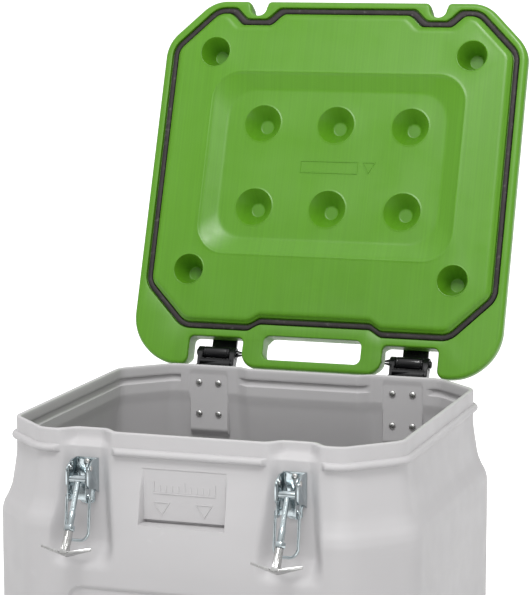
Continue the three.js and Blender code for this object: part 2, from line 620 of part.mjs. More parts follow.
// The T-bolt's own frame has the trunnion at the origin and -Z along the rod.
const JOURNAL_RADIUS = 3;
const TRUNNION = { radius: 5.6, half: 11.4 };

function buildTrunnion() {
  const { radius, half } = TRUNNION;
  const end = CHEEK.outer + 0.1;
  const profile = [
    [0, -end], [JOURNAL_RADIUS, -end], [JOURNAL_RADIUS, -half], [radius, -half], [radius, half],
    [JOURNAL_RADIUS, half], [JOURNAL_RADIUS, end], [0, end],
  ];
  const points = profile.map(([r, y]) => new THREE.Vector2(r, y));
  const roller = new THREE.LatheGeometry(points, 16).rotateZ(-Math.PI / 2);
  return solid(roller).subtract(solid(rodZ(ROD_RADIUS + GAP, -20, 20, 0, 0, 12)));
}

const buildRod = () => rodZ(ROD_RADIUS, -HOOK.plate + 6, 4.2, 0, 0, 12);

function buildNut() {
  const hexagon = rodZ(7.4, -HOOK.nut - 6, -HOOK.nut, 0, 0, 6);
  return solid(hexagon).subtract(solid(rodZ(ROD_RADIUS + GAP, -100, 0, 0, 0, 12)));
}

function buildHook() {
  const { sleeve, plate, thickness, halfWidth, sweep } = HOOK;
  const barrel = solid(rodZ(5.8, -plate - 1, -sleeve, 0, 0, 14));
  const tip = halfWidth * Math.tan(rad(sweep)) - plate;
  const bar = solid(alongY(polygon([
    [-halfWidth, tip], [0, -plate], [halfWidth, tip], [halfWidth, tip - thickness],
    [0, -plate - thickness], [-halfWidth, tip - thickness],
  ]), -9, 9));
  const outline = polygon([
    [-halfWidth - 1, -2], [-9, -7], [9, -7], [halfWidth + 1, -2], [halfWidth + 1, 2], [9, 7], [-9, 7],
    [-halfWidth - 1, 2],
  ]);
  const wings = bar.intersect(solid(alongZ(outline, -plate - 20, 0)));
  const gusset = solid(alongY(polygon([
    [-4, -sleeve - 4], [-10, -plate - 1.5], [10, -plate - 1.5], [4, -sleeve - 4],
  ]), -1.6, 1.6));
  return union([barrel, gusset, wings]).subtract(solid(rodZ(ROD_RADIUS + GAP, -plate + 5, 0, 0, 0, 12)));
}

// ---- assembly ----
const container = new THREE.Group();
addNode(container, 'tub', buildTub(), TUB_GREY);

const lidGroup = new THREE.Group();
lidGroup.position.set(0, HINGE_Y, RIM_Z + HINGE_Z);
lidGroup.rotation.x = -rad(OPEN_DEG);
const lid = new THREE.Group();
lid.position.set(0, -HINGE_Y, -HINGE_Z);
lidGroup.add(lid);
container.add(lidGroup);
addNode(lid, 'lid_shell', buildLid(), LID_GREEN);
addNode(lid, 'lid_gasket', buildGasket(), RUBBER);
addNode(lid, 'lid_vent_plug', buildVentPlug(), LID_GREEN);

for (const [label, side] of SIDES) {
  const fixed = new THREE.Group();
  fixed.position.set(side * HINGE_X, 0, RIM_Z);
  container.add(fixed);
  addNode(fixed, `hinge_body_leaf_${label}`, buildBodyLeaf(), BLACK_PLASTIC);
  addNode(fixed, `hinge_pin_${label}`, buildHingePin(side), BLACK_PLASTIC);
  hingeRivetPlaces(0).forEach(([x, z], i) => {
    const [inner, outer] = [SEAT.y - PAD.thickness, SEAT.y + GAP + LEAF.thickness];
    const shape = rivet(RIVETS.radius, RIVETS.headRadius, 3.2, inner, outer);
    addNode(fixed, `hinge_rivet_${label}_${i + 1}`, shape.translate(x, 0, z), STEEL);
  });

  const moving = new THREE.Group();
  moving.position.set(side * HINGE_X, 0, 0);
  lid.add(moving);
  addNode(moving, `hinge_lid_leaf_${label}`, buildLidLeaf(), BLACK_PLASTIC);
  strapScrewPlaces().forEach(([x, y], i) => {
    addNode(moving, `lid_screw_${label}_${i + 1}`, screw(x, y), STEEL);
  });
}

for (const [label, side] of SIDES) {
  const latch = new THREE.Group();
  latch.position.set(side * LATCH_X, 0, RIM_Z);
  container.add(latch);
  addNode(latch, `latch_base_${label}`, buildLatchBase(), ZINC);
  LATCH_RIVET_Z.forEach((z, i) => {
    const low = -LATCH_SEAT_Y - GAP - LATCH_PLATE.thickness;
    const shape = rivet(LATCH_RIVET.radius, LATCH_RIVET.headRadius, 2.2, low, -LATCH_SEAT_Y + WALL);
    addNode(latch, `latch_rivet_${label}_${i + 1}`, shape.translate(0, 0, z), STEEL);
  });
  addNode(latch, `lever_rivet_${label}_1`, leverRivet(-1), STEEL);
  addNode(latch, `lever_rivet_${label}_2`, leverRivet(1), STEEL);

  const lever = new THREE.Group();
  lever.position.set(0, PIVOT_A.y, PIVOT_A.z);
  lever.rotation.x = -rad(LEVER_TILT);
  latch.add(lever);
  addNode(lever, `latch_lever_${label}`, buildLever(), ZINC);
  addNode(lever, `latch_bail_${label}`, buildBail(), ZINC);

  const bolt = new THREE.Group();
  bolt.position.set(0, PIVOT_B.y, PIVOT_B.z);
  bolt.rotation.x = -rad(BOLT_TILT);
  latch.add(bolt);
  addNode(bolt, `latch_trunnion_${label}`, buildTrunnion(), ZINC);
  addNode(bolt, `t_bolt_rod_${label}`, buildRod(), ZINC);
  addNode(bolt, `t_bolt_nut_${label}`, buildNut(), ZINC);
  addNode(bolt, `t_bolt_hook_${label}`, buildHook(), STEEL);
}

export default container;
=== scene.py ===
"""Looks of the salvage container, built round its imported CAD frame.

Shapes are drawn in millimetres and turned into metres on the way into Blender. Heights called "down" or
"h" are measured from the rim's top. The lid's pieces are drawn shut and turned open by one matrix.
"""
import json
import math
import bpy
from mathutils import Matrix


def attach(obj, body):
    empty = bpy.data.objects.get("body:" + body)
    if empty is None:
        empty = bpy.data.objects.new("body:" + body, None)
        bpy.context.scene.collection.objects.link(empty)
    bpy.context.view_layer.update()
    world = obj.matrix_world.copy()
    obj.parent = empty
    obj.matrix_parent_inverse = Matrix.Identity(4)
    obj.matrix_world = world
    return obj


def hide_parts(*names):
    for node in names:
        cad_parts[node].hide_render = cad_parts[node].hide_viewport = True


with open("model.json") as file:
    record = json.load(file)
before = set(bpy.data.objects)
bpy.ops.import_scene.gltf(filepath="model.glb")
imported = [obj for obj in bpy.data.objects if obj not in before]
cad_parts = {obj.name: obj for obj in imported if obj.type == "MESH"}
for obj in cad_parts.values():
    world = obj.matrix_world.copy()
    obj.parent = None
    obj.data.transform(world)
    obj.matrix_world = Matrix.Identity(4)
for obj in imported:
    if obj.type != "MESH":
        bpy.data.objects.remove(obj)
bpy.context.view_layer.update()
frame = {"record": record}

from types import SimpleNamespace as Sizes

import bpy
import numpy as np
from mathutils import Matrix, Vector
from mathutils.geometry import delaunay_2d_cdt

MM = 0.001
SIDES = (("left", -1), ("right", 1))

# ---- dimensions shared with the CAD part ----
RIM_Z = 720
HALF_WALL = 3
WALL = 6
GAP = 0.3
RIM_PLAN = Sizes(half_x=275.5, front=254, rear=254, front_cut=64, rear_cut=64, front_r=30, rear_r=30)
BULGE = 24.5
NECK, HIP = -41, -186
BACK_DENT = Sizes(depth=11, inner=84, outer=109)
LATCH_X, LATCH_RIM_Y, LATCH_SEAT_Y = 146, 238.6, 250
LABEL = Sizes(x=-6, half_x=58.5, top=-46, floor_end=-119.5, bottom=-120.2, face=256.2, slope_end=280)
PANEL = Sizes(half_x=168, top=-208, bottom=-560, depth=3, radius=24)
CHANNEL = Sizes(x=135, half=60, height=48, radius=12, under=60, cover_end=274, cut_end=400)
HINGE_X, HINGE_Y, HINGE_Z, OPEN_DEG = 153.3, 294, 12, 110.3
SEAT = Sizes(half_x=26, y=257, top=-3, bottom=-95, head_half_x=33, head_bottom=-52)
PAD = Sizes(half_x=31, y=251, top=-9, bottom=-101, radius=8)
LID_PLAN = Sizes(half_x=292.5, front=270, rear=316, front_cut=71, rear_cut=46, front_r=55, rear_r=75)
LID_TOP, PLATEAU_H, PANEL_H = 38, -7, 3
PIVOT_A, PIVOT_B = (-279, -46.5), (-283, -61.2)
LEVER_TILT, BOLT_TILT, BOLT_TRAVEL = 7.5, 29, 166
HOOK = Sizes(nut=65, sleeve=71.5, plate=102, thickness=3, half=35, sweep=15)


# ---- numbers and curves ----
def smooth(x, start, end):
    t = np.clip((x - start) / (end - start), 0, 1)
    return t * t * (3 - 2 * t)


def lerp(a, b, t):
    return a + (b - a) * t


def soft_ramp(t, w):
    """0 before 0 and 1 after 1, straight between, with its two bends rounded over w each way."""
    t = np.asarray(t, float)
    rise = np.where(t < w, (np.maximum(t + w, 0)) ** 2 / (4 * w), t)
    fall = np.where(t > 1 - w, 1 - (np.maximum(1 + w - t, 0)) ** 2 / (4 * w), rise)
    return fall


def monotone(x, points):
    """A smooth curve through points given by rising x, that never overshoots them."""
    px, py = np.array(points, float).T
    step, slope = np.diff(px), np.diff(py) / np.diff(px)
    m = np.zeros(len(px))
    for i in range(1, len(px) - 1):
        if slope[i - 1] * slope[i] > 0:
            m[i] = 2 * slope[i - 1] * slope[i] / (slope[i - 1] + slope[i])
    i = np.clip(np.searchsorted(px, x) - 1, 0, len(step) - 1)
    t = np.clip((x - px[i]) / step[i], 0, 1)
    low = (2 * t**3 - 3 * t**2 + 1) * py[i] + (t**3 - 2 * t**2 + t) * step[i] * m[i]
    return low + (3 * t**2 - 2 * t**3) * py[i + 1] + (t**3 - t**2) * step[i] * m[i + 1]


def rounded_box(x, y, half_x, half_y, radius):
    """Distance outside a rounded rectangle about the origin, negative inside it."""
    qx, qy = np.abs(x) - half_x + radius, np.abs(y) - half_y + radius
    return np.hypot(np.maximum(qx, 0), np.maximum(qy, 0)) + np.minimum(np.maximum(qx, qy), 0) - radius


# ---- meshes ----
def linked(name, verts, faces):
    """A mesh object from millimetre points."""
    mesh = bpy.data.meshes.new(name)
    points = [tuple(float(c) * MM for c in v) for v in verts]
    mesh.from_pydata(points, [], [tuple(map(int, f)) for f in faces])
    obj = bpy.data.objects.new(name, mesh)
    bpy.context.scene.collection.objects.link(obj)
    return obj


def finish_shading(obj, sharp):
    obj.data.polygons.foreach_set("use_smooth", [True] * len(obj.data.polygons))
    obj.data.set_sharp_from_angle(angle=math.radians(sharp))


def loose_piece(name, part, material, sharp=32):
    """A piece before it is put in place; edges sharper than the given angle stay crisp."""
    obj = linked(name, *part)
    obj.data.validate()
    obj.data.materials.append(material)
    finish_shading(obj, sharp)
    return obj


def body_with(node):
    """The body that a CAD node rides on."""
    bodies = frame["record"]["behaviour"]["bodies"]
    return next(body for body, nodes in bodies.items() if node in nodes)


def settle(obj, matrix=None, node=None, body=None):
    """Moves the piece into the whole object, on the body of the CAD node that it stands for."""
    if matrix is not None:
        obj.data.transform(matrix)
    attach(obj, body or body_with(node))
    if node:
        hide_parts(node)


def piece(name, part, material, node, matrix, sharp=28):
    settle(loose_piece(name, part, material, sharp), matrix, node)


def modified(obj, kind, **settings):
    """Works one modifier into the piece's mesh."""
    modifier = obj.modifiers.new(kind, kind)
    for key, value in settings.items():
        setattr(modifier, key, value)
    bpy.context.view_layer.update()
    graph = bpy.context.evaluated_depsgraph_get()
    mesh = bpy.data.meshes.new_from_object(obj.evaluated_get(graph))
    obj.modifiers.clear()
    obj.data = mesh


def boolean(obj, part, operation):
    """Cuts a (verts, faces) mesh out of the piece, joins it on or keeps what they share."""
    tool = linked("tool", *part)
    modified(obj, "BOOLEAN", operation=operation, solver="EXACT", object=tool)
    bpy.data.objects.remove(tool)


def shaped(name, base, adds, cuts, material, node, matrix=None, edge=0, sharp=32, masks=()):
    """Parts masked, joined and cut into one piece, with its edges rounded."""
    obj = loose_piece(name, base, material)
    for operation, parts in (("INTERSECT", masks), ("UNION", adds), ("DIFFERENCE", cuts)):
        for part in parts:
            boolean(obj, part, operation)
    if edge:
        bend = math.radians(30)
        modified(obj, "BEVEL", width=edge * MM, segments=2, limit_method="ANGLE", angle_limit=bend)
    finish_shading(obj, sharp)
    settle(obj, matrix, node)


def shift(x, y, z):
    """A move by millimetres, for meshes that are in metres."""
    return Matrix.Translation((x * MM, y * MM, z * MM))


def turn_x(degrees):
    return Matrix.Rotation(math.radians(degrees), 4, "X")


# ---- (verts, faces) parts ----
AXIS_ORDER = dict(x=[2, 0, 1], y=[1, 2, 0], z=[0, 1, 2])


def level(line, height):
    """The points of a flat line, at one height."""
    return np.column_stack([line, np.full(len(line), height)])


def grid_faces(rows, count):
    """Quads between stacked rings of equal count, wound outwards for rising counter-clockwise rings."""
    faces = []
    for r in range(rows - 1):
        for i in range(count):
            j = (i + 1) % count
            faces.append((r * count + i, r * count + j, (r + 1) * count + j, (r + 1) * count + i))
    return faces


def capped_skin(rings):
    """Rising rings joined into one closed skin, with a flat face at each end."""
    count = len(rings[0])
    faces = grid_faces(len(rings), count)
    faces.append(tuple(range(count))[::-1])
    faces.append(tuple(range((len(rings) - 1) * count, len(rings) * count)))
    return np.concatenate(rings), faces


def closed_skin(rings):
    """A tube bent into itself: the last ring is joined to the first one."""
    count, last = len(rings[0]), (len(rings) - 1) * len(rings[0])
    faces = grid_faces(len(rings), count)
    faces += [(last + i, last + (i + 1) % count, (i + 1) % count, i) for i in range(count)]
    return np.concatenate(rings), faces


def unit_circle(steps):
    angles = np.linspace(0, 2 * math.pi, steps, endpoint=False)
    return np.column_stack([np.cos(angles), np.sin(angles)])


def lathe(profile, steps, axis="z"):
    """A solid of revolution about an axis from (radius, place) points that start and end on the axis."""
    rings = [level(r * unit_circle(steps), h) for r, h in profile[1:-1]]
    verts = np.concatenate([[[0, 0, profile[0][1]]], *rings, [[0, 0, profile[-1][1]]]])
    faces = [tuple(k + 1 for k in f) for f in grid_faces(len(rings), steps)]
    last = len(verts) - 1
    for i in range(steps):
        j = (i + 1) % steps
        faces.append((0, 1 + j, 1 + i))
        faces.append((last, last - steps + i, last - steps + j))
    return verts[:, AXIS_ORDER[axis]], faces


def combined(*parts):
    """Several (verts, faces) meshes as one."""
    verts, faces = [], []
    for v, f in parts:
        base = sum(len(x) for x in verts)
        verts.append(np.asarray(v, float))
        faces += [tuple(k + base for k in face) for face in f]
    return np.concatenate(verts), faces


def moved(part, x, y, z):
    return part[0] + np.array((x, y, z), float), part[1]


def mapped(part, matrix):
    return part[0] @ np.array(matrix)[:3, :3].T, part[1]


def flipped(part):
    """The same part with its faces turned over."""
    return part[0], [tuple(f[::-1]) for f in part[1]]


def box_part(low, high):
    x, y, z = zip(low, high)
    verts = [(x[i], y[j], z[k]) for k in (0, 1) for j in (0, 1) for i in (0, 1)]
    faces = [(0, 2, 3, 1), (4, 5, 7, 6), (0, 1, 5, 4), (2, 6, 7, 3), (0, 4, 6, 2), (1, 3, 7, 5)]
    return np.array(verts, float), faces


def prism(outline, low, high, axis="z"):
    """A straight prism of a counter-clockwise outline along x, y or z."""
    outline = np.asarray(outline, float)
    verts, faces = capped_skin([level(outline, h) for h in (low, high)])
    return verts[:, AXIS_ORDER[axis]], faces


def prism_y(outline, low, high):
    """A prism along y of an outline given as (x, z)."""
    return prism([(z, x) for x, z in outline][::-1], low, high, "y")


def bar(radius, low, high, axis="z", place=(0, 0, 0), steps=28):
    """A plain round bar along an axis through a place."""
    return moved(lathe([(0, low), (radius, low), (radius, high), (0, high)], steps, axis), *place)


# ---- outlines ----
def arc(cx, cy, radius, start, end, steps):
    angles = np.radians(np.linspace(start, end, steps + 1))
    return [(cx + radius * math.cos(a), cy + radius * math.sin(a)) for a in angles]


def rounded_outline(cx, cy, half_x, half_y, radius, steps):
    """Counter-clockwise points of a rounded rectangle."""
    points = []
    for turn, sx, sy in ((-90, 1, -1), (0, 1, 1), (90, -1, 1), (180, -1, -1)):
        x, y = cx + sx * (half_x - radius), cy + sy * (half_y - radius)
        points += arc(x, y, radius, turn, turn + 90, steps)
    return points


def spaced(points, step):
    """The closed line with its long straights divided."""
    out = []
    for a, b in zip(points, points[1:] + points[:1]):
        n = max(1, int(math.dist(a, b) / step))
        out += [tuple(lerp(np.array(a), np.array(b), i / n)) for i in range(n)]
    return np.array(out)


def corner_arcs(plan, steps):
    """The centre, radius and angle of each point on the four right-hand arcs and the four left-hand ones."""
    slip = math.tan(math.pi / 8)
    hx, front, rear = plan.half_x, plan.front, plan.rear
    fc, rc, fr, rr = plan.front_cut, plan.rear_cut, plan.front_r, plan.rear_r
    centres = [
        (hx - fc - fr * slip, -front + fr, fr, -90),
        (hx - fr, -front + fc + fr * slip, fr, -45),
        (hx - rr, rear - rc - rr * slip, rr, 0),
        (hx - rc - rr * slip, rear - rr, rr, 45),
    ]
    right = [(x, y, r, turn + 45 * i / steps) for x, y, r, turn in centres for i in range(steps + 1)]
    left = [(-x, y, r, 180 - a) for x, y, r, a in reversed(right)]
    return np.array(right, float), np.array(left, float)


def arc_points(arcs, offset):
    angle = np.radians(arcs[:, 3])
    radius = arcs[:, 2] + offset
    return np.column_stack([arcs[:, 0] + radius * np.cos(angle), arcs[:, 1] + radius * np.sin(angle)])


# ---- tub wall ----
LATCH_HOLLOW = Sizes(mouth=41, flat=14, seat_start=-12, seat_full=-24, foot=-150)


def front_at(x, down, face, wall):
    """How far the front wall stands from the middle where its plain face stands at face."""
    hollow = LATCH_HOLLOW
    seat = lerp(LATCH_RIM_Y, LATCH_SEAT_Y, smooth(down, hollow.seat_start, hollow.seat_full))
    floor = lerp(seat, RIM_PLAN.front + BULGE, smooth(down, hollow.foot, HIP)) - wall
    drop = min(max(down / NECK, 0), 1)
    reach = min(max((down - NECK) / (hollow.foot - NECK), 0), 1)
    mouth = hollow.mouth - 5 * drop + 12 * reach + wall * 0.8
    flat = hollow.flat + 5 * drop + 7 * reach + wall * 0.8
    share = 1 - smooth(np.abs(np.abs(x) - LATCH_X), flat, mouth)
    return lerp(face, np.minimum(floor, face), share)


def stations(edges, spread, step, limit):
    """Rising x values, close together beside each edge and step apart elsewhere."""
    near = [e + s for e in edges for s in spread]
    far = np.arange(-limit, limit + step / 2, step)
    values = np.unique(np.round(np.concatenate([near, -np.array(near), far, [0]]), 2))
    values = values[np.abs(values) <= limit]
    kept = [values[0]]
    for v in values[1:]:
        if v - kept[-1] > 0.55:
            kept.append(v)
    return np.array(kept)


CORNER_X = 198
LABEL_EDGES = [LABEL.half_x + LABEL.x, LABEL.half_x - LABEL.x, PANEL.half_x - 1.5]
FRONT_X = stations(LABEL_EDGES, (-5, -2.4, -1.2, 0, 1.2, 2.4, 5), 7, CORNER_X)
HOLLOW_X = np.round(LATCH_X + np.arange(-58, 59, 3), 1)
FRONT_X = np.unique(np.concatenate([FRONT_X, HOLLOW_X, -HOLLOW_X]))
FRONT_X = FRONT_X[np.abs(FRONT_X) <= CORNER_X]
SEAT_EDGES = [HINGE_X + s * h for s in (-1, 1) for h in (SEAT.half_x, SEAT.head_half_x, PAD.half_x)]
REAR_X = stations(SEAT_EDGES + [84, 90, 96, 102, 108], (-2.4, -1.2, 0, 1.2, 2.4), 8, CORNER_X)[::-1]
TUB_ARCS = corner_arcs(RIM_PLAN, 9)

# how far the outer wall stands out from the rim's middle line, by level: the front, the corners and the base
FRONT_SLOPE = [(HIP, BULGE), (-160, 23), (-120, 17.5), (-80, 9.5), (NECK, HALF_WALL)]
SHOULDER = [(HIP, BULGE), (-133, BULGE), (-121, 22), (-108, 15.5), (-95, 10.5), (-82, 8), (NECK, HALF_WALL)]
BASE = [(-RIM_Z, 8.5), (-718.8, 12.5), (-716, 17.5), (-712, 20.8), (-706, 22.5), (HIP, BULGE)]
BEAD = Sizes(middle=-26.5, inner_middle=-21.5, half=5.6, depth=6.4, latch_gap=(37, 44), hinge_gap=(92, 106))
LEAN_END = Sizes(outer=-121, inner=-220)
FOOT = -706


def outline_at(slope, down):
    return float(monotone(np.array([down]), slope)[0])


def wall_offset(down):
    """How far the outer wall stands out from the rim's middle line, without the bead."""
    if down >= NECK:
        return float(HALF_WALL)
    return outline_at(BASE if down < HIP else SHOULDER, down)


def bead(down, middle=BEAD.middle):
    t = abs(down - middle) / BEAD.half
    return BEAD.depth * math.sqrt(1 - t * t) * float(smooth(t, 1.04, 0.8)) if t < 1 else 0.0


def wall_plan(front, rear, offset):
    """A closed line through the front's and the rear's stations and round the corners."""
    right, left = TUB_ARCS
    return np.concatenate([
        np.column_stack([FRONT_X, -front]), arc_points(right, offset),
        np.column_stack([REAR_X, rear]), arc_points(left, offset),
    ])


def rear_line(offset, lean):
    """The rear wall, which stands in between the hinges."""
    dent = 1 - smooth(np.abs(REAR_X), BACK_DENT.inner, BACK_DENT.outer)
    return RIM_PLAN.rear + offset - BACK_DENT.depth * lean * dent


def tub_ring(down, offset, wall, inside=False, swell=0.0):
    """One level of the tub's wall: offset is measured from the rim's middle line, wall from the outer face.
    Swell is the bead's share of the offset, left out beside the latches and the hinges."""
    face = RIM_PLAN.front + offset - swell * (1 - smooth(np.abs(np.abs(FRONT_X) - LATCH_X), *BEAD.latch_gap))
    if not inside and HIP < down < NECK:
        gentler = outline_at(FRONT_SLOPE, down) - wall_offset(down)
        face = face + gentler * (1 - smooth(np.abs(FRONT_X), 150, CORNER_X))
    front = front_at(FRONT_X, down, face, wall)
    lean = 1 - smooth(down, NECK, LEAN_END.inner if inside else LEAN_END.outer)
    rear = rear_line(offset, lean) - swell * smooth(np.abs(REAR_X), *BEAD.hinge_gap)
    front = with_label(front, down, WALL if inside else 0)
    front, rear = inner_details(front, rear, down) if inside else outer_details(front, rear, down)
    return level(wall_plan(front, rear, offset), RIM_Z + down)


def with_label(front, down, skin):
    """The label recess, pressed into the front wall and seen on the inside as well."""
    half, reach = LABEL.half_x, skin * 0.8
    across = 1 - smooth(np.abs(FRONT_X - LABEL.x), half - 1 + reach, half + 2 + reach)
    tall = smooth(down, LABEL.bottom - 1 - reach, LABEL.floor_end)
    tall = tall * (1 - smooth(down, LABEL.top, LABEL.top + 2))
    slot = smooth(down, LABEL.floor_end + 4.5, LABEL.floor_end + 3)
    depth = LABEL.face - 6 * slot * tall - skin + (LABEL.slope_end - LABEL.face) * (1 - tall)
    return lerp(front, np.minimum(front, depth), across)


def outer_details(front, rear, down):
    """The large panel and the hinge seats, pressed into the plain walls."""
    middle, half = (PANEL.top + PANEL.bottom) / 2, (PANEL.top - PANEL.bottom) / 2
    edge = rounded_box(np.abs(FRONT_X), down - middle, PANEL.half_x, half, PANEL.radius)
    head = SEAT.head_half_x if down > SEAT.head_bottom else SEAT.half_x
    seat = 1 - smooth(np.abs(np.abs(REAR_X) - HINGE_X), head - 0.8, head + 0.8)
    seat = seat * smooth(down, SEAT.bottom - 1, SEAT.bottom + 1)
    seat = seat * (1 - smooth(down, SEAT.top - 0.8, SEAT.top + 0.8))
    front = front - PANEL.depth * (1 - smooth(edge, -3.2, -0.2))
    return front, lerp(rear, np.minimum(rear, SEAT.y), seat)


def inner_details(front, rear, down):
    """The flat pads behind the hinge seats."""
    top, bottom = PAD.top, PAD.bottom - 60
    across = np.abs(REAR_X) - HINGE_X
    edge = rounded_box(across, down - (top + bottom) / 2, PAD.half_x, (top - bottom) / 2, PAD.radius)
    pad = (1 - smooth(edge, -1.2, 1)) * smooth(down, PAD.bottom - 12, PAD.bottom + 2)
    return front, lerp(rear, PAD.y, pad)


TUB_LEVELS = [-720, -719.7, -718.8, -716, -712, -706, -690, -668, -640, -600]
TUB_LEVELS += [-540, -500, -440, -380, -320, -280, -240, -12, -8, -5]
CLOSE_LEVELS = [
    (-566, -554, 2), (-236, -202, 3), (-200, -130, 4), (-130, -112, 1.5), (-112, -97, 2.5), (-97, -91, 1),
    (-91, -52, 3), (-54, -49, 1), (-48, -41, 0.8), (-40, -33, 2), (-32.4, -15.2, 0.6),
]
RIM_LIP = [
    (-3.6, 3.0), (-2.4, 3.0), (-1.2, 2.75), (-0.5, 2.2), (-0.12, 1.5), (0, 0.7), (0, -1.2), (-0.15, -2.2),
    (-0.6, -3.0), (-1.4, -3.6), (-2.6, -3.9),
]


def tub_rings():
    """The tub's wall from its foot up the outside, over the rim and down the inside to the floor."""
    close = [d for low, high, step in CLOSE_LEVELS for d in np.arange(low, high, step)]
    walls = sorted(set(np.round(TUB_LEVELS + close, 2)))
    rings = [tub_ring(d, wall_offset(d) + bead(d), 0, swell=bead(d)) for d in walls]
    rings += [tub_ring(d, offset, HALF_WALL - offset) for d, offset in RIM_LIP]
    for d in [w for w in walls[::-1] if w > FOOT]:
        groove = bead(d, BEAD.inner_middle) * 0.55
        offset = lerp(HALF_WALL, BULGE, (d - NECK) / (HIP - NECK)) if HIP < d < NECK else wall_offset(d)
        wall = WALL + (1.2 if d > NECK else 1.2 * float(smooth(d, -60, NECK)))
        rings.append(tub_ring(d, offset + groove - wall, wall, inside=True, swell=groove))
    rings += [tub_ring(FOOT - 3, 12.5, WALL + 3, inside=True), tub_ring(FOOT - 6, 4.5, WALL + 8, inside=True)]
    return rings


def channel_bar(side, spare, half_length):
    """A bar through the tub with a fork channel's section, wider by spare and reaching below the ground."""
    top, under = CHANNEL.height + spare, CHANNEL.under
    half, radius = CHANNEL.half + spare, CHANNEL.radius + spare
    section = rounded_outline(side * CHANNEL.x, (top - under) / 2, half, (top + under) / 2, radius, 6)
    return prism_y(section, -half_length, half_length)


def clipped_below(part, z):
    verts, faces = part
    return np.maximum(verts, (-math.inf, -math.inf, z)), faces


def build_tub():
    covers = [clipped_below(channel_bar(side, WALL, CHANNEL.cover_end), HALF_WALL) for _, side in SIDES]
    tunnels = [channel_bar(side, 0, CHANNEL.cut_end) for _, side in SIDES]
    shaped("tub_moulding", capped_skin(tub_rings()), covers, tunnels, TUB_PLASTIC, "tub", sharp=35)


# ---- lid ----
NOTCH = Sizes(inner=111, outer=198, front=271, radius=8, lobe=12, handle=22)
SLOT = Sizes(half_mouth=14, radius=12.5, end=-247, lip=6.5)
HANDLE = Sizes(half_x=77.5, front=265.5, rear=302, radius=10)
HANDLE_TOP = 28
WELD_REACH = 0.004


def lid_outline():
    """The lid's plan, counter-clockwise, with its two slots and its two hinge notches."""
    s, n, plan = SLOT, NOTCH, LID_PLAN
    mouth, bend = s.half_mouth, s.end - s.radius
    half = [(0, -plan.front)]
    half += arc(LATCH_X - mouth - s.lip, -plan.front + s.lip, s.lip, -90, 0, 4)
    half += arc(LATCH_X, bend, s.radius, 180, 0, 16)
    half += arc(LATCH_X + mouth + s.lip, -plan.front + s.lip, s.lip, 180, 270, 4)
    right, _ = corner_arcs(plan, 12)
    half += [tuple(p) for p in arc_points(right, 0)]
    half += arc(n.outer + n.lobe, plan.rear - n.lobe, n.lobe, 90, 180, 8)
    half += arc(n.outer - n.radius, n.front + n.radius, n.radius, 0, -90, 6)
    half += arc(n.inner + n.radius, n.front + n.radius, n.radius, -90, -180, 6)
    half += arc(n.inner - n.handle, plan.rear - n.handle, n.handle, 0, 90, 12)
    half += [(0, plan.rear)]
    mirrored = [(-x, y) for x, y in half[::-1]][1:-1]
    points = spaced(half + mirrored, 6)
    keep = np.linalg.norm(points - np.roll(points, 1, axis=0), axis=1) > 0.05
    return points[keep]


def inward(points):
    """The unit normal into the shape at each point of a counter-clockwise line."""
    along = np.roll(points, -1, axis=0) - np.roll(points, 1, axis=0)
    along /= np.linalg.norm(along, axis=1)[:, None]
    return np.column_stack([-along[:, 1], along[:, 0]])


def edge_share(points):
    """1 on the lid's outer edge and 0 in the slots and notches, changing smoothly between them."""
    x, y = np.abs(points[:, 0]), points[:, 1]
    slot = 1 - smooth(np.abs(x - LATCH_X), 20, 34)
    slot = np.where(y < -200, slot, 0)
    notch = np.where(y > 262, 1 - smooth(x, 222, 240), 0)
    return 1 - np.maximum(slot, notch)


# how far each level of the lid's side stands in: at the outer edge, and in the slots and notches
LID_SIDE = [
    (-1.5, 6.4, 3.2), (-1.4, 4.9, 2.3), (-1.0, 3.4, 1.5), (-0.2, 2.1, 0.8), (1.0, 1.0, 0.3),
    (2.6, 0.25, 0.05), (4.5, 0, 0), (13, 0, 0.05), (20, 2.1, 0.15), (26, 3.9, 0.3), (30, 5.2, 0.5),
    (33, 6.8, 1.0), (35, 8.4, 1.8), (36.6, 10.6, 2.8), (37.6, 13.2, 4.0), (38, 16.5, 5.4),
]
# the flange, the gasket's groove and the plug's shoulder: sideways from the rim's middle line, and height
RIM_LOOPS = [
    (6.5, -1.5), (6.0, -1.3), (5.7, -0.7), (5.55, 0.2), (5.45, 5.3), (4.9, 5.5), (-4.9, 5.5), (-5.45, 5.3),
    (-5.55, -1.0), (-6.2, -1.9), (-7.2, -2.4), (-8.2, -3.4), (-9.4, -4.8), (-11.0, -6.0), (-13.0, -6.7),
    (-15.5, -7.0), (-17.5, -7.0),
]
GASKET_SECTION = [
    (-3.8, 5.2), (-3.8, 2.0), (-3.3, 1.1), (-2.2, 0.55), (0, 0.4),
    (2.2, 0.55), (3.3, 1.1), (3.8, 2.0), (3.8, 5.2),
]
PANEL_RECESS = Sizes(half_x=204, front=-153, rear=140, slope=27, radius=46)
PANEL_INSETS = (-4, -2.4, -1.4, -0.4, 0.6, 1.6, 2.8, 4.5, 8, 12, 17, 21, 23, 24.6, 25.8, 27, 28.2, 29.6, 31.5)
DIMPLES = [(x, y, 29, PANEL_H) for x in (-119, 0, 119) for y in (-71.5, 62.5)]
DIMPLES += [(s * x, y, 23.5, PLATEAU_H) for x, y in ((207.5, -184), (210.5, 167.5)) for s in (-1, 1)]
DIMPLE_FLOOR = (29, 11)
DIMPLE_LIP = (-0.18, -0.12, -0.07, -0.02, 0.03, 0.08, 0.14)
DIMPLE_SHARES = (*DIMPLE_LIP, 0.3, 0.5, 0.7, 0.84, 0.9, 0.96, 1.02, 1.08, 1.14, 1.3)


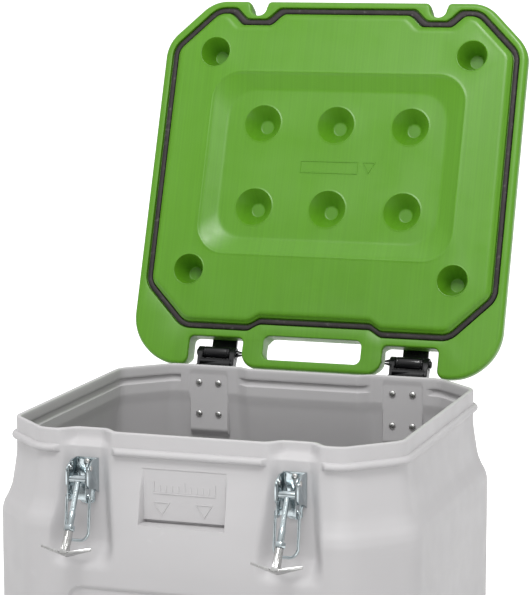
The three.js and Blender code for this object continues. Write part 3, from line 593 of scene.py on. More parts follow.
def rim_loop(offset):
    """The tub rim's own line moved sideways, which the groove, the gasket and the plug follow."""
    front = front_at(FRONT_X, 0, RIM_PLAN.front + offset, HALF_WALL - offset)
    return wall_plan(front, rear_line(offset, 1), offset)


def top_height(points):
    """The lid's top is lower along the grip."""
    x, y = np.abs(points[:, 0]), points[:, 1]
    return LID_TOP - (LID_TOP - HANDLE_TOP) * smooth(y, 270, 278) * (1 - smooth(x, 120, 126))


def below_ceiling(h, ceiling):
    """A level of the lid's side squeezed under a lower top."""
    start = 13
    if h <= start:
        return np.full(len(ceiling), float(h))
    return start + (h - start) * (ceiling - start) / (LID_TOP - start)


def inside(points, loop):
    """Which points lie inside a closed line."""
    x, y = points[:, 0][:, None], points[:, 1][:, None]
    ax, ay = loop[:, 0][None], loop[:, 1][None]
    bx, by = np.roll(loop, -1, axis=0).T[:, None]
    spans = (ay > y) != (by > y)
    cross = ax + (y - ay) / np.where(by == ay, 1e-12, by - ay) * (bx - ax)
    return (np.sum(spans & (x < cross), axis=1) % 2) == 1


def sheet_between(loops):
    """A sheet of triangles through closed lines. The first line bounds it and the second one is a hole."""
    verts = np.concatenate(loops)
    edges, base = [], 0
    for loop in loops:
        n = len(loop)
        if n > 2:
            edges += [(base + i, base + (i + 1) % n) for i in range(n)]
        base += n
    flat = [Vector((float(x), float(y))) for x, y in verts[:, :2]]
    _, _, tris, origin, _, _ = delaunay_2d_cdt(flat, edges, [], 0, 1e-6)
    first = np.array([o[0] if o else -1 for o in origin])
    tris = np.array([[first[i] for i in t] for t in tris])
    middle = verts[tris, :2].mean(axis=1)
    return verts, tris[inside(middle, loops[0][:, :2]) & ~inside(middle, loops[1][:, :2])]


def lid_side(outline):
    """The levels of the lid's outer side, which is steeper in the slots and notches."""
    normal, share, ceiling = inward(outline), edge_share(outline), top_height(outline)
    heights, insets, _ = np.array(LID_SIDE).T
    x, y = outline.T
    grip = 1 - 0.5 * (np.abs(x) < 112) * (y > 285)
    slot_lean = np.clip((SLOT.end - y) / (LID_PLAN.front + SLOT.end), 0, 1)
    notch_lean = np.clip((y - NOTCH.front) / (LID_PLAN.rear - NOTCH.front), 0, 1)
    lean = np.where(y < 0, slot_lean, -notch_lean)
    rings = []
    for h, _, narrow in LID_SIDE:
        height = below_ceiling(h, ceiling)
        wide = np.interp(height, heights, insets)
        plan = outline + normal * lerp(narrow * grip, wide, share)[:, None]
        plan[:, 1] += lean * (1 - share) * (wide - narrow * grip)
        rings.append(np.column_stack([plan, height]))
    return rings


def build_lid(matrix):
    outline = lid_outline()
    middle, half_y = (HANDLE.front + HANDLE.rear) / 2, (HANDLE.rear - HANDLE.front) / 2
    hole = spaced(rounded_outline(0, middle, HANDLE.half_x, half_y, HANDLE.radius, 8), 6)
    outwards, ceiling = -inward(hole), top_height(hole)
    rings = lid_side(outline)
    hole_rings = []
    for h, _, narrow in LID_SIDE:
        hole_rings.append(np.column_stack([hole + outwards * narrow * 0.5, below_ceiling(h, ceiling)]))
    side = (np.concatenate(rings), grid_faces(len(rings), len(outline)))
    grip = (np.concatenate(hole_rings), grid_faces(len(rings), len(hole)))
    rim_loops = [level(rim_loop(o), h) for o, h in RIM_LOOPS]
    low = sheet_between([rings[0], hole_rings[0], *rim_loops, *panel_loops(), *dimple_loops()])
    high = sheet_between([rings[-1], hole_rings[-1], *step_loops()])
    lid = loose_piece("lid_moulding", combined(side, flipped(grip), flipped(low), high), LID_PLASTIC)
    modified(lid, "WELD", merge_threshold=WELD_REACH * MM)
    for _, s in SIDES:
        boolean(lid, hook_pocket(s * LATCH_X), "DIFFERENCE")
    finish_shading(lid, 40)
    settle(lid, matrix, "lid_shell")


def lip_ring(distance, spread):
    """The soft raised lip around a hollow."""
    return 0.8 * math.exp(-((distance / spread) ** 2))


def panel_loops():
    """The slope from the lid's inner face down to its recessed panel."""
    p, loops = PANEL_RECESS, []
    middle, half_y = (p.front + p.rear) / 2, (p.rear - p.front) / 2
    for inset in PANEL_INSETS:
        line = spaced(rounded_outline(0, middle, p.half_x - inset, half_y - inset, p.radius, 10), 14)
        h = lerp(PLATEAU_H, PANEL_H, float(soft_ramp(inset / p.slope, 0.1))) - lip_ring(inset, 2)
        loops.append(level(line, h))
    return loops


def dimple_loops():
    """The funnels where the lid's two skins meet."""
    loops = []
    floor_h, floor_r = DIMPLE_FLOOR
    for x, y, radius, low in DIMPLES:
        for t in DIMPLE_SHARES:
            h = lerp(low, floor_h, float(soft_ramp(t, 0.08))) - lip_ring(t + 0.03, 0.06)
            loops.append(level(arc(x, y, lerp(radius, floor_r, t), 0, 360, 36)[:-1], h))
        loops.append(np.array([(x, y, floor_h)], float))
    return loops


def step_loops():
    """Points on the lid's top where it drops to the grip, at both ends of the grip's opening."""
    x, y = np.meshgrid([86, 91, 97, 103], [270, 271.5, 273, 274.5, 276, 277.5])
    points = np.column_stack([x.ravel(), y.ravel()]).astype(float)
    points = np.concatenate([points, points * (-1, 1)])
    return [level(point, top_height(point)) for point in points[:, None]]


def hook_pocket(x):
    """Where the closed T-bolt's hook lies on the lid, in the shut lid's place."""
    floor = HOOK.plate - HOOK.half * math.sin(math.radians(HOOK.sweep)) - 2 * GAP
    pocket = box_part((-39, -12, -floor - 30), (39, 12, -floor))
    return moved(mapped(pocket, turn_x(-BOLT_TILT - BOLT_TRAVEL)), x, *PIVOT_B)


def build_gasket(matrix):
    """A soft D-shaped bead in the groove, crowned in the middle."""
    rings = [level(rim_loop(o), h) for o, h in GASKET_SECTION]
    piece("lid_gasket_bead", closed_skin(rings), GASKET, "lid_gasket", matrix, 50)


# ---- small shapes ----
def fillet_path(corners, steps):
    """Points along a line with rounded corners, given as (point, radius). The radius is 0 at both ends."""
    out = []
    places = [np.array(p, float) for p, _ in corners]
    for i, (p, (_, r)) in enumerate(zip(places, corners)):
        if r == 0:
            out.append(p)
            continue
        a, b = places[i - 1] - p, places[i + 1] - p
        a, b = a / np.linalg.norm(a), b / np.linalg.norm(b)
        half = math.acos(float(np.clip(a @ b, -1, 1))) / 2
        centre = p + (a + b) / np.linalg.norm(a + b) * r / math.sin(half)
        start, end = p + a * r / math.tan(half) - centre, p + b * r / math.tan(half) - centre
        turn = math.pi - 2 * half
        for t in np.arange(steps + 1) / steps:
            swing = math.sin((1 - t) * turn) * start + math.sin(t * turn) * end
            out.append(centre + swing / math.sin(turn))
    return np.array(out)


def tube(path, radius, steps):
    """A round bar along a path, with domed ends."""
    along = np.gradient(path, axis=0)
    along /= np.linalg.norm(along, axis=1)[:, None]
    side = np.cross(along[0], (0.3, 0.9, 0.2))
    rings = []
    for p, d in zip(path, along):
        side = side - d * (side @ d)
        side /= np.linalg.norm(side)
        rings.append(p + radius * (unit_circle(steps) @ np.array([side, np.cross(d, side)])))
    ends = []
    for point, edge, out in ((path[0], rings[0], -along[0]), (path[-1], rings[-1], along[-1])):
        ends.append(point + (edge - point) * 0.7 + out * radius * 0.25)
    return capped_skin([ends[0], *rings, ends[1]])


def thread(radius, depth, pitch, low, high, steps):
    """A screw thread about Z, fading into a plain end at both ends."""
    rings = []
    for z in np.arange(low, high + 1e-6, pitch / 5):
        phase = (z / pitch - np.arange(steps) / steps) % 1
        fade = float(smooth(z, low, low + pitch) * smooth(z, high, high - pitch))
        cut = depth * np.abs(2 * phase - 1) * fade
        rings.append(level(unit_circle(steps) * (radius - cut)[:, None], z))
    return capped_skin(rings)


def end_for_end(profile, side):
    """A lathe profile for the side +1, or its mirror image for the side -1."""
    return [(r, side * x) for r, x in (profile if side > 0 else profile[::-1])]


# ---- hinges ----
KNUCKLE = Sizes(radius=9.5, half_lid=21, half=30.5)
LEAF = Sizes(half_x=25, thickness=6, top=-3.5, bottom=-93)
RIVETS = Sizes(half_x=15.6, rows=(-27, -75.5), radius=2.6, head=5.4)
PIN_RADIUS = 4
PIN_AXIS = (0, HINGE_Y, HINGE_Z)
STRAP = Sizes(y=206, thickness=5, screws=(220, 250), half_x=13)
SCREW = Sizes(radius=2.5, head=5, depth=15)


def leaf_rivets():
    return [(s * RIVETS.half_x, z) for z in RIVETS.rows for s in (-1, 1)]


def strap_screws():
    return [(s * STRAP.half_x, y) for y in STRAP.screws for s in (-1, 1)]


def build_body_leaf(label, matrix):
    k, back, top = KNUCKLE, SEAT.y + GAP, LEAF.top
    face, low, r = back + LEAF.thickness, LEAF.bottom, k.radius
    profile = [(back, low), (face, low), (face, -19), (284, -9), (290, -3), (290, 0.5), (284, 5), (280.5, 5)]
    plate = prism(profile + [(279, top), (back, top)], -LEAF.half_x, LEAF.half_x, "x")
    ear = [(face - 1, -48), (300, 4), (303, HINGE_Z), (HINGE_Y - r, HINGE_Z), (280, top), (face - 1, top)]
    adds = []
    for a, b in ((-k.half, -k.half_lid - GAP), (k.half_lid + GAP, k.half)):
        ring = [(0, a), (r - 1, a), (r, a + 1), (r, b - 1), (r - 1, b), (0, b)]
        adds += [prism(ear, a + 0.8, b - 0.8, "x"), moved(lathe(ring, 28, "x"), *PIN_AXIS)]
    rib = [(face - 1, -66), (face + 4.5, -60), (face + 4.5, -34), (face - 1, -22)]
    adds += [prism(rib, x - 1.2, x + 1.2, "x") for x in (-9, 0, 9)]
    cuts = [bar(PIN_RADIUS + GAP, -60, 60, "x", PIN_AXIS)]
    cuts += [bar(RIVETS.radius + GAP, 200, 300, "y", (x, 0, z)) for x, z in leaf_rivets()]
    shaped(f"hinge_leaf_{label}", plate, adds, cuts, BLACK, f"hinge_body_leaf_{label}", matrix, 0.7)


def build_lid_leaf(label, matrix):
    r, half, end, under = KNUCKLE.radius, KNUCKLE.half_lid, STRAP.y, LID_TOP + GAP
    over = under + STRAP.thickness
    profile = [
        (HINGE_Y - 6, HINGE_Z), (HINGE_Y + 6, HINGE_Z), (HINGE_Y + 6, under), (HINGE_Y + 2, over),
        (end + 3, over), (end, under + 2), (end, under), (HINGE_Y - 8, under), (HINGE_Y - 6, under - 3),
    ]
    strap = prism(profile, -half + 1.2, half - 1.2, "x")
    ring = [(0, -half), (r - 1.2, -half), (r, -half + 1.2)]
    for groove in (-half + 4, half - 4):
        ring += [(r, groove - 0.6), (r - 0.7, groove), (r, groove + 0.6)]
    ring += [(r, half - 1.2), (r - 1.2, half), (0, half)]
    cuts = [bar(PIN_RADIUS + GAP, -60, 60, "x", PIN_AXIS)]
    cuts += [bar(SCREW.radius + GAP, 30, 60, "z", (x, y, 0), 20) for x, y in strap_screws()]
    barrel = moved(lathe(ring, 36, "x"), *PIN_AXIS)
    shaped(f"hinge_strap_{label}", strap, [barrel], cuts, BLACK, f"hinge_lid_leaf_{label}", matrix, 0.6)


def build_hinge_pin(label, side, matrix):
    """Headed outside, with two barbed prongs that point inwards."""
    r, near, tip = PIN_RADIUS, KNUCKLE.half + GAP, KNUCKLE.half + 9
    flange = KNUCKLE.half + 1.4
    profile = [(0, -flange - 1.6), (3.6, -flange - 1.6), (5.0, -flange - 1), (5.5, -flange), (5.5, -near)]
    profile += [(r, -near), (r, near), (5.2, near), (5.2, flange), (3.4, tip - 1), (2.6, tip), (0, tip)]
    shank = lathe(end_for_end(profile, -side), 24, "x")
    slit = moved(box_part((-7, -12, -1), (7, 12, 1)), -side * (tip - 4), 0, 0)
    place, node = matrix @ shift(*PIN_AXIS), f"hinge_pin_{label}"
    shaped(node + "_split", shank, [], [slit], BLACK, node, place, 0.25)


def domed_rivet(radius, head, height, low, high):
    """A rivet along y with a dome over a thin collar at each end."""
    dome = [(head, 0), (head, 0.5)]
    dome += [(head * r, height * h) for r, h in ((0.93, 0.45), (0.74, 0.75), (0.42, 0.95), (0, 1))]
    start = [(r, low - h - GAP * (h == 0)) for r, h in dome[::-1]]
    end = [(r, high + h + GAP * (h == 0)) for r, h in dome]
    return lathe([*start, (radius, low - GAP), (radius, high + GAP), *end], 24, "y")


def build_rivets(prefix, rivet, places, matrix):
    for i, (x, z) in enumerate(places, 1):
        piece(f"{prefix}_{i}_dome", rivet, BRIGHT, f"{prefix}_{i}", matrix @ shift(x, 0, z))


def build_screws(label, matrix):
    r, wide = SCREW.radius, SCREW.head
    point, seat = LID_TOP - SCREW.depth, LID_TOP + 2 * GAP + STRAP.thickness
    head = [(r, 0), (wide, 0), (wide, 1.2), (wide * 0.9, 2.1), (wide * 0.62, 2.8), (wide * 0.4, 3), (1.3, 3)]
    head += [(1.1, 1.6), (0, 1.6)]
    profile = [(0, point), (r * 0.5, point), (r, point + 2)] + [(a, seat + h) for a, h in head]
    for i, (x, y) in enumerate(strap_screws(), 1):
        node = f"lid_screw_{label}_{i}"
        piece(node + "_head", lathe(profile, 28), BRIGHT, node, matrix @ shift(x, y, 0))


def build_vent(matrix):
    cap = [(2.7, 0), (6.5, 0), (6.5, 1.2), (6.1, 1.7), (4.9, 2.3), (4.5, 2.3), (4.2, 1.6), (2.4, 1.5)]
    cap += [(2.0, 2.6), (0, 2.9)]
    profile = [(0, 31), (1.8, 31), (2.7, 33)] + [(r, LID_TOP + GAP + h) for r, h in cap]
    piece("lid_vent_cap", lathe(profile, 36), LID_PLASTIC, "lid_vent_plug", matrix @ shift(0, 200, 0))


# ---- latches ----
EAR = Sizes(inner=14.1, outer=16.3)
CHEEK = Sizes(inner=12, outer=13.8)
PLATE = Sizes(thickness=2.5, top=-37.5, bottom=-100)
BASE_RIVET = Sizes(radius=2.4, head=4.6, rows=(-44, -91.5))
LEVER_RIVET = Sizes(radius=2.4, head=3.8)
TRUNNION = Sizes(radius=5.6, half=11.4, journal=3)
BAIL = Sizes(x=16.2, radius=2.1, top=36, bottom=96.5, corner=12, bend=3.9)
ROD_RADIUS = 4


def pair_of_plates(outline, plate):
    """The same plate on both sides, across x."""
    inner, outer = plate.inner, plate.outer
    return [prism(outline[::-1], a, b, "x") for a, b in ((-outer, -inner), (inner, outer))]


def build_latch_base(label, matrix):
    seat = -LATCH_SEAT_Y - GAP
    wide, top, low = EAR.outer, PLATE.top, PLATE.bottom
    half = [(wide, top), (wide, low + 22), (wide - 6, low + 14), (wide - 6, low + 3), (wide - 9, low)]
    plate = prism_y([(-x, z) for x, z in half] + half[::-1], seat - PLATE.thickness, seat)
    ear = [(seat - 0.5, -85), (seat - 0.5, top)]
    ear += [tuple(p) for p in fillet_path([((-270, top), 0), ((-287.5, -45.5), 5), ((-288, -56), 0)], 5)]
    ear += [(-288, -68.5), (-284, -73.5), (-262, -78)]
    cuts = [bar(LEVER_RIVET.radius + GAP, -40, 40, "x", (0, *PIVOT_A))]
    cuts += [bar(BASE_RIVET.radius + GAP, -300, -200, "y", (0, 0, z)) for z in BASE_RIVET.rows]
    adds = pair_of_plates(ear, EAR)
    shaped(f"latch_housing_{label}", plate, adds, cuts, ZINC, f"latch_base_{label}", matrix, 0.5)


def trunnion_in_lever():
    dy, dz = PIVOT_B[0] - PIVOT_A[0], PIVOT_B[1] - PIVOT_A[1]
    c, s = math.cos(math.radians(LEVER_TILT)), math.sin(math.radians(LEVER_TILT))
    return 0, dy * c - dz * s, dy * s + dz * c


def build_lever(label, matrix):
    profile = [(-4, 7), (3, 7.4), (7.5, 3), (8.6, -10), (8.6, -43), (5, -46), (-4.5, -46), (-7, -42), (-7, 3)]
    left, right = pair_of_plates(profile, CHEEK)
    web = box_part((-CHEEK.inner - 0.5, 6.8, -43), (CHEEK.inner + 0.5, 8.6, -25))
    bail_hole = (0, 0, -BAIL.top - 2 * GAP)
    bores = [
        bar(LEVER_RIVET.radius + GAP, -40, 40, "x"),
        bar(TRUNNION.journal + GAP, -40, 40, "x", trunnion_in_lever()),
        bar(BAIL.radius + 4 * GAP, -40, 40, "x", bail_hole),
    ]
    node = f"latch_lever_{label}"
    shaped(node + "_pressing", left, [right, web], bores, ZINC, node, matrix, 0.4)


def build_bail(label, matrix):
    b, node = BAIL, f"latch_bail_{label}"
    bend, corner = (b.x, 0, -b.top), (b.x, 0, -b.bottom)
    half = [((10.8, 0, -b.top), 0), (bend, b.bend), (corner, b.corner)]
    path = fillet_path(half + [((-x, y, z), r) for (x, y, z), r in half[::-1]], 8)
    piece(node + "_wire", tube(path, b.radius, 16), ZINC, node, matrix, 40)


def build_lever_rivet(node, side, matrix):
    r, head = LEVER_RIVET.radius, LEVER_RIVET.head
    inner, outer = CHEEK.inner - GAP, EAR.outer + GAP
    profile = [
        (0, inner - 1.1), (head, inner - 1.1), (head, inner), (r, inner), (r, outer), (head, outer),
        (head, outer + 0.5), (head * 0.85, outer + 1.2), (head * 0.5, outer + 1.7), (0, outer + 1.9),
    ]
    part = lathe(end_for_end(profile, side), 24, "x")
    piece(node + "_dome", part, BRIGHT, node, matrix @ shift(0, *PIVOT_A))


def build_trunnion(label, matrix):
    r, half, journal, end = TRUNNION.radius, TRUNNION.half, TRUNNION.journal, CHEEK.outer + 0.1
    near = [(0, -end), (journal, -end), (journal, -half), (r - 0.6, -half), (r, -half + 0.6)]
    roller = lathe(near + [(a, -x) for a, x in near[::-1]], 32, "x")
    hole = bar(ROD_RADIUS + 0.15, -20, 20, steps=24)
    shaped(f"latch_roller_{label}", roller, [], [hole], ZINC, f"latch_trunnion_{label}", matrix, 0.2)


def build_rod_and_nut(label, matrix):
    """The threaded rod with its swelling above the nut, and the hexagonal nut."""
    r, low, foot = ROD_RADIUS, -HOOK.nut, -HOOK.plate + 6
    swelling = [(r, low - 2), (4.6, low + 1), (4.6, low + 19), (r, low + 20.5), (0, low + 20.5)]
    shank = lathe([(0, foot), (r, foot)] + swelling, 24)
    screw_part = thread(r, 0.5, 1.5, low + 20, 4.2, 20)
    node = f"t_bolt_rod_{label}"
    piece(node + "_thread", combined(shank, screw_part), ZINC, node, matrix, 30)

    hexagon = prism(8 * unit_circle(6), low - 6.2, low + 1)
    bore, node = bar(4.7, -100, 0, steps=24), f"t_bolt_nut_{label}"
    shaped(node + "_hex", hexagon, [], [bore], ZINC, node, matrix, 0.7)


def build_hook(label, matrix):
    """The two-winged hook: a bent bar narrowed towards its tips, on a grooved barrel with a gusset."""
    plate, sleeve, half, thick = -HOOK.plate, -HOOK.sleeve, HOOK.half, HOOK.thickness
    tip = plate + half * math.tan(math.radians(HOOK.sweep))
    upper = [(-half, tip), (0, plate), (half, tip)]
    wings = prism_y([(x, z - thick) for x, z in upper] + upper[::-1], -9, 9)
    outline = [(-half, -1.6), (-9, -7), (9, -7), (half, -1.6), (half, 1.6), (9, 7), (-9, 7), (-half, 1.6)]
    mask = prism(outline, plate - 20, 0)
    barrel = lathe([(0, plate - 1), (5.8, plate - 1), (5.8, sleeve - 0.6), (5.2, sleeve), (0, sleeve)], 28)
    gusset = [(-0.8, sleeve - 9), (-5.5, plate - 1.5), (5.5, plate - 1.5), (0.8, sleeve - 9)]
    cuts = [box_part((x - 0.9, -9, sleeve - 26), (x + 0.9, -4.6, sleeve - 1)) for x in (-2.4, 2.4)]
    cuts.append(bar(ROD_RADIUS + GAP, plate + 5, 0, steps=24))
    adds, node = [barrel, prism_y(gusset, -7.6, 0)], f"t_bolt_hook_{label}"
    shaped(node + "_forged", wings, adds, cuts, BRIGHT, node, matrix, 0.45, masks=[mask])


# ---- moulded marks, all plain ----
def raised_line(points, width, low, high):
    """A raised outline of a convex counter-clockwise shape, in the xy plane from low to high."""
    p = np.array(points, float)
    ahead = np.roll(p, -1, axis=0) - p
    ahead /= np.linalg.norm(ahead, axis=1)[:, None]
    n2 = np.column_stack([-ahead[:, 1], ahead[:, 0]])
    n1 = np.roll(n2, 1, axis=0)
    step = (n1 + n2) / (1 + np.sum(n1 * n2, axis=1))[:, None]
    section = ((0, low), (width * 0.25, high), (width * 0.75, high), (width, low))
    return closed_skin([level(p + step * inset, h) for inset, h in section])


def build_marks(name, parts, material, body, matrix):
    settle(loose_piece(name, combined(*parts), material), matrix, body=body)


def build_label_marks():
    """Fill-level marks pressed up from the label recess: a row of ticks over two arrows."""
    half, foot, rise, sunk = 12.7, -90, 0.9, -0.5
    arrows = [[(x, foot - 20), (x + half, foot), (x - half, foot)] for x in (-32.5, 27.5)]
    parts = [raised_line(arrow, 1.6, sunk, rise) for arrow in arrows]
    for i in range(-5, 6):
        tall = 13 if i % 5 == 0 else 8
        parts.append(box_part((i * 8.6 - 0.7, -76, sunk), (i * 8.6 + 0.7, -76 + tall, rise)))
    parts.append(box_part((-44, -79, sunk), (44, -77.6, rise)))
    upright = shift(LABEL.x, -LABEL.face, RIM_Z) @ turn_x(90)
    build_marks("label_marks", parts, TUB_PLASTIC, "tub", upright)


def build_lid_marks(matrix):
    """A blank frame and a small arrow in the middle of the lid's panel, on its underside."""
    lines = [[(-51, -14), (42, -14), (42, 6), (-51, 6)], [(48, -14), (70, -14), (59, 6)]]
    under = Matrix.Scale(-1, 4, (0, 0, 1))
    parts = [flipped(mapped(raised_line(line, 1.8, -PANEL_H - 0.5, -PANEL_H + 0.9), under)) for line in lines]
    build_marks("lid_marks", parts, LID_PLASTIC, "lid", matrix)


# ---- materials ----
class Nodes:
    """A small builder for the node tree of a material or a world."""

    def __init__(self, owner):
        owner.use_nodes = True
        self.owner, self.tree = owner, owner.node_tree
        self.shader = self.tree.nodes.get("Principled BSDF")
        self.place = self.new("ShaderNodeTexCoord").outputs["Object"]

    def new(self, kind, **settings):
        node = self.tree.nodes.new(kind)
        for key, value in settings.items():
            setattr(node, key, value)
        return node

    def link(self, source, target):
        self.tree.links.new(source, target)

    def noise(self, scale, detail=3.0, stretch=None, distortion=0.0):
        node = self.new("ShaderNodeTexNoise")
        node.inputs["Scale"].default_value = scale
        node.inputs["Detail"].default_value = detail
        node.inputs["Distortion"].default_value = distortion
        place = self.place
        if stretch:
            mapping = self.new("ShaderNodeMapping")
            mapping.inputs["Scale"].default_value = stretch
            self.link(place, mapping.inputs["Vector"])
            place = mapping.outputs["Vector"]
        self.link(place, node.inputs["Vector"])
        return node.outputs["Fac"]

    def ranged(self, value, low, high, to_low, to_high):
        node = self.new("ShaderNodeMapRange")
        for socket, number in zip(("From Min", "From Max", "To Min", "To Max"), (low, high, to_low, to_high)):
            node.inputs[socket].default_value = number
        self.link(value, node.inputs["Value"])
        return node.outputs["Result"]

    def mixed(self, share, a, b):
        """Colour a where share is 0 and b where it is 1; a or b may be a socket."""
        node = self.new("ShaderNodeMix", data_type="RGBA")
        self.link(share, node.inputs[0])
        for socket, value in ((node.inputs[6], a), (node.inputs[7], b)):
            if isinstance(value, tuple):
                socket.default_value = (*value, 1)
            else:
                self.link(value, socket)
        return node.outputs[2]

    def math(self, operation, a, b):
        node = self.new("ShaderNodeMath", operation=operation)
        for socket, value in zip(node.inputs, (a, b)):
            if isinstance(value, (int, float)):
                socket.default_value = value
            else:
                self.link(value, socket)
        return node.outputs[0]

    def edges(self, start, end, most=1):
        """Rises from 0 where the surface's pointiness is start to most where it is end."""
        return self.ranged(self.new("ShaderNodeNewGeometry").outputs["Pointiness"], start, end, 0, most)

    def bump(self, height, strength, distance, under=None):
        node = self.new("ShaderNodeBump")
        node.inputs["Strength"].default_value = strength
        node.inputs["Distance"].default_value = distance
        self.link(height, node.inputs["Height"])
        if under is not None:
            self.link(under, node.inputs["Normal"])
        return node.outputs["Normal"]

    def finish(self, colour, roughness, normal, **constants):
        self.link(colour, self.shader.inputs["Base Color"])
        self.link(roughness, self.shader.inputs["Roughness"])
        self.link(normal, self.shader.inputs["Normal"])
        for socket, value in constants.items():
            self.shader.inputs[socket.replace("_", " ")].default_value = value
        return self.owner


def tinted(colour, factor):
    return tuple(min(c * factor, 1) for c in colour)


def moulded(name, colour, rough, grain=1400, grain_depth=0.00004, streak=None, scuff=0.12, specular=0.35):
    """Moulded plastic: soft blotches, a fine grain, flow streaks, a few scuffs, paler edges that are partly
    worn and partly a painted highlight, and painted shade in its creases and hollows.
    """
    n = Nodes(bpy.data.materials.new(name))
    base = n.mixed(n.ranged(n.noise(5, 4), 0.35, 0.65, 0, 1), tinted(colour, 0.975), tinted(colour, 1.02))
    height = n.noise(grain, 3)
    if streak:
        lines = n.noise(1, 4, streak)
        base = n.mixed(n.ranged(lines, 0.38, 0.66, 0, 0.5), base, tinted(colour, 1.16))
        height = n.math("ADD", height, n.math("MULTIPLY", lines, 1.5))
    marks = n.ranged(n.noise(2.2, 9, (9, 2, 30), 1.2), 0.66, 0.74, 0, scuff)
    base = n.mixed(marks, base, tinted(colour, 1.3))
    # paler convex edges in noisy patches: partly edge wear, partly a painted highlight along the edges
    edge_wear_and_highlight = n.math("MULTIPLY", n.edges(0.53, 0.62), n.ranged(n.noise(40, 5), 0.4, 0.65, 0.15, 0.6))
    base = n.mixed(edge_wear_and_highlight, base, tinted(colour, 1.22))
    # painted shade: creases and hollows, where pointiness is low, are darkened to 0.7 of the colour
    base = n.mixed(n.edges(0.47, 0.40, 0.35), base, tinted(colour, 0.7))
    blotches = n.ranged(n.noise(30, 5), 0.3, 0.7, rough - 0.06, rough + 0.07)
    roughness = n.math("ADD", blotches, n.math("MULTIPLY", marks, 0.5))
    wave = n.bump(n.noise(9, 2), 0.12, 0.001)
    return n.finish(base, roughness, n.bump(height, 0.5, grain_depth, wave), Specular_IOR_Level=specular)


def plated(name, colour, rough, brushed=(60, 60, 900)):
    """Zinc-plated or bright steel: clouded plating, fine rolling lines, dull spots and rubbed edges."""
    n = Nodes(bpy.data.materials.new(name))
    cloud = n.ranged(n.noise(140, 4, None, 0.6), 0.35, 0.7, 0, 1)
    base = n.mixed(cloud, tinted(colour, 0.88), tinted(colour, 1.04))
    spots = n.ranged(n.noise(420, 6), 0.66, 0.76, 0, 0.35)
    base = n.mixed(spots, base, tinted(colour, 0.55))
    base = n.mixed(n.edges(0.54, 0.66), base, tinted(colour, 1.2))
    lines = n.noise(1, 3, brushed)
    clouds = n.ranged(n.noise(200, 4), 0.3, 0.7, rough - 0.07, rough + 0.08)
    roughness = n.math("ADD", clouds, n.math("MULTIPLY", spots, 0.4))
    normal = n.bump(lines, 0.35, 0.00003, n.bump(n.noise(260, 3), 0.3, 0.00012))
    return n.finish(base, roughness, normal, Metallic=1.0)


def rubber(name, colour):
    n = Nodes(bpy.data.materials.new(name))
    base = n.mixed(n.ranged(n.noise(25, 5), 0.35, 0.7, 0, 1), tinted(colour, 0.8), tinted(colour, 1.25))
    dust = n.ranged(n.noise(160, 6), 0.6, 0.72, 0, 0.3)
    base = n.mixed(dust, base, (0.2, 0.19, 0.18))
    roughness = n.ranged(n.noise(60, 4), 0.3, 0.7, 0.5, 0.68)
    return n.finish(base, roughness, n.bump(n.noise(1500, 4), 0.6, 0.00008), Specular_IOR_Level=0.4)


GREY = (0.49, 0.481, 0.487)
GREEN = (0.086, 0.254, 0.0102)
TUB_PLASTIC = moulded("tub_plastic", GREY, 0.46)
LID_PLASTIC = moulded("lid_plastic", GREEN, 0.36, streak=(330, 5, 5), specular=0.42)
BLACK = moulded("hinge_plastic", (0.004, 0.004, 0.005), 0.22, scuff=0.25, specular=0.5)
GASKET = rubber("gasket_rubber", (0.022, 0.017, 0.018))
ZINC = plated("zinc_steel", (0.5, 0.56, 0.58), 0.16)
BRIGHT = plated("bright_steel", (0.6, 0.6, 0.59), 0.22)


# ---- assembly ----
LID_OPEN = shift(0, HINGE_Y, RIM_Z + HINGE_Z) @ turn_x(-OPEN_DEG) @ shift(0, -HINGE_Y, -HINGE_Z)
build_tub()
build_lid(LID_OPEN)
build_gasket(LID_OPEN)
build_label_marks()
build_lid_marks(LID_OPEN)
build_vent(LID_OPEN)

for label, side in SIDES:
    fixed, moving = shift(side * HINGE_X, 0, RIM_Z), LID_OPEN @ shift(side * HINGE_X, 0, 0)
    build_body_leaf(label, fixed)
    build_hinge_pin(label, side, fixed)
    build_lid_leaf(label, moving)
    inner, outer = SEAT.y - WALL, SEAT.y + GAP + LEAF.thickness
    leaf_rivet = domed_rivet(RIVETS.radius, RIVETS.head, 3.2, inner, outer)
    build_rivets(f"hinge_rivet_{label}", leaf_rivet, leaf_rivets(), fixed)
    build_screws(label, moving)

    latch = shift(side * LATCH_X, 0, RIM_Z)
    build_latch_base(label, latch)
    outer, inner = -LATCH_SEAT_Y - GAP - PLATE.thickness, -LATCH_SEAT_Y + WALL
    base_rivet = domed_rivet(BASE_RIVET.radius, BASE_RIVET.head, 2.2, outer, inner)
    build_rivets(f"latch_rivet_{label}", base_rivet, [(0, z) for z in BASE_RIVET.rows], latch)
    build_lever_rivet(f"lever_rivet_{label}_1", -1, latch)
    build_lever_rivet(f"lever_rivet_{label}_2", 1, latch)
    lever = latch @ shift(0, *PIVOT_A) @ turn_x(-LEVER_TILT)
    build_lever(label, lever)
    build_bail(label, lever)
    bolt = latch @ shift(0, *PIVOT_B) @ turn_x(-BOLT_TILT)
    build_trunnion(label, bolt)
    build_rod_and_nut(label, bolt)
    build_hook(label, bolt)


# ---- floor, light and camera ----
FLOOR = Sizes(half=40000, front=-9000, near=1.2, far=2.1)
SKY_LIGHT = (0.24, 1.05)
LAMPS = [
    ("key", (0.3, -2.0, 3.9), (0, 0.1, 0.8), (1.2, 0.9), 78),
    ("fill", (1.9, -4.0, 1.8), (0, 0, 0.6), (2.2, 1.6), 16),
]
CAMERA = Sizes(place=(1.1087, -3.2614, 1.3963), yaw=18.427, pitch=8.711, roll=-0.10, lens=150.2, sensor=36)


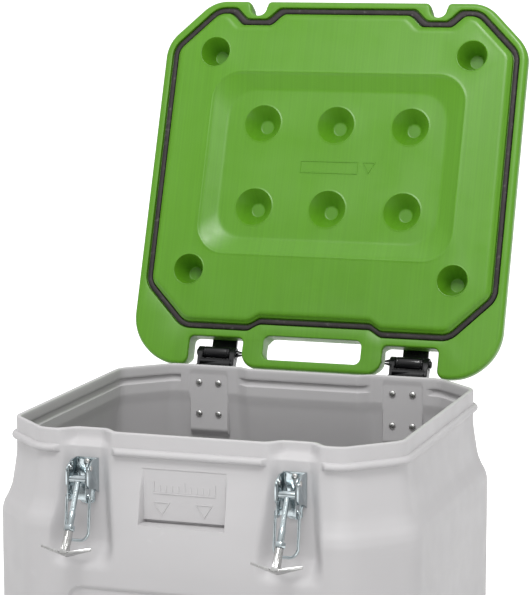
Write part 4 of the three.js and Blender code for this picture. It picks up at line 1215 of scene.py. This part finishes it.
def stage_floor():
    """A pale floor, grey round the object and fading into the white backdrop."""
    half, front = FLOOR.half, FLOOR.front
    corners = [(-half, front, 0), (half, front, 0), (half, half, 0), (-half, half, 0)]
    floor = linked("floor", corners, [(0, 1, 2, 3)])
    n = Nodes(bpy.data.materials.new("studio_floor"))
    apart = n.new("ShaderNodeVectorMath", operation="DISTANCE")
    n.link(n.place, apart.inputs[0])
    apart.inputs[1].default_value = (0, -0.5, 0)
    away = n.ranged(apart.outputs["Value"], FLOOR.near, FLOOR.far, 0, 1)
    white = n.mixed(n.noise(0.8, 2), (0.9, 0.9, 0.9), (0.94, 0.94, 0.94))
    colour = n.mixed(away, (0.58, 0.58, 0.58), white)
    n.shader.inputs["Emission Color"].default_value = (1, 1, 1, 1)
    n.link(n.math("MULTIPLY", away, 0.6), n.shader.inputs["Emission Strength"])
    roughness = n.ranged(n.noise(3, 2), 0.3, 0.7, 0.75, 0.85)
    floor.data.materials.append(n.finish(colour, roughness, n.bump(n.noise(200, 2), 0.05, 0.0002)))


def area_light(name, place, target, size, watts):
    light = bpy.data.lights.new(name, "AREA")
    light.shape, light.energy = "RECTANGLE", watts
    light.size, light.size_y = size
    lamp = bpy.data.objects.new(name, light)
    bpy.context.scene.collection.objects.link(lamp)
    lamp.location = place
    lamp.rotation_euler = (Vector(target) - Vector(place)).to_track_quat("-Z", "Y").to_euler()


def sky():
    """A plain white backdrop whose light falls mostly from above."""
    world = bpy.data.worlds.new("studio")
    n = Nodes(world)
    direction = n.new("ShaderNodeSeparateXYZ")
    n.link(n.new("ShaderNodeTexCoord").outputs["Generated"], direction.inputs[0])
    falling = n.ranged(direction.outputs["Z"], -0.1, 0.9, *SKY_LIGHT)
    to_camera = n.new("ShaderNodeLightPath").outputs["Is Camera Ray"]
    background = n.tree.nodes["Background"]
    n.link(n.math("MAXIMUM", falling, to_camera), background.inputs["Strength"])
    background.inputs["Color"].default_value = (1, 1, 1, 1)
    bpy.context.scene.world = world


def stage_camera():
    """The camera's place, turn and lens."""
    camera = bpy.data.cameras.new("camera")
    camera.lens, camera.sensor_width = CAMERA.lens, CAMERA.sensor
    eye = bpy.data.objects.new("camera", camera)
    bpy.context.scene.collection.objects.link(eye)
    yaw, roll = (Matrix.Rotation(math.radians(a), 4, "Z") for a in (CAMERA.yaw, CAMERA.roll))
    eye.matrix_world = Matrix.Translation(CAMERA.place) @ yaw @ turn_x(90 - CAMERA.pitch) @ roll
    bpy.context.scene.camera = eye


stage_floor()
sky()
bpy.context.scene.view_settings.view_transform = "Standard"
for lamp in LAMPS:
    area_light(*lamp)
stage_camera()
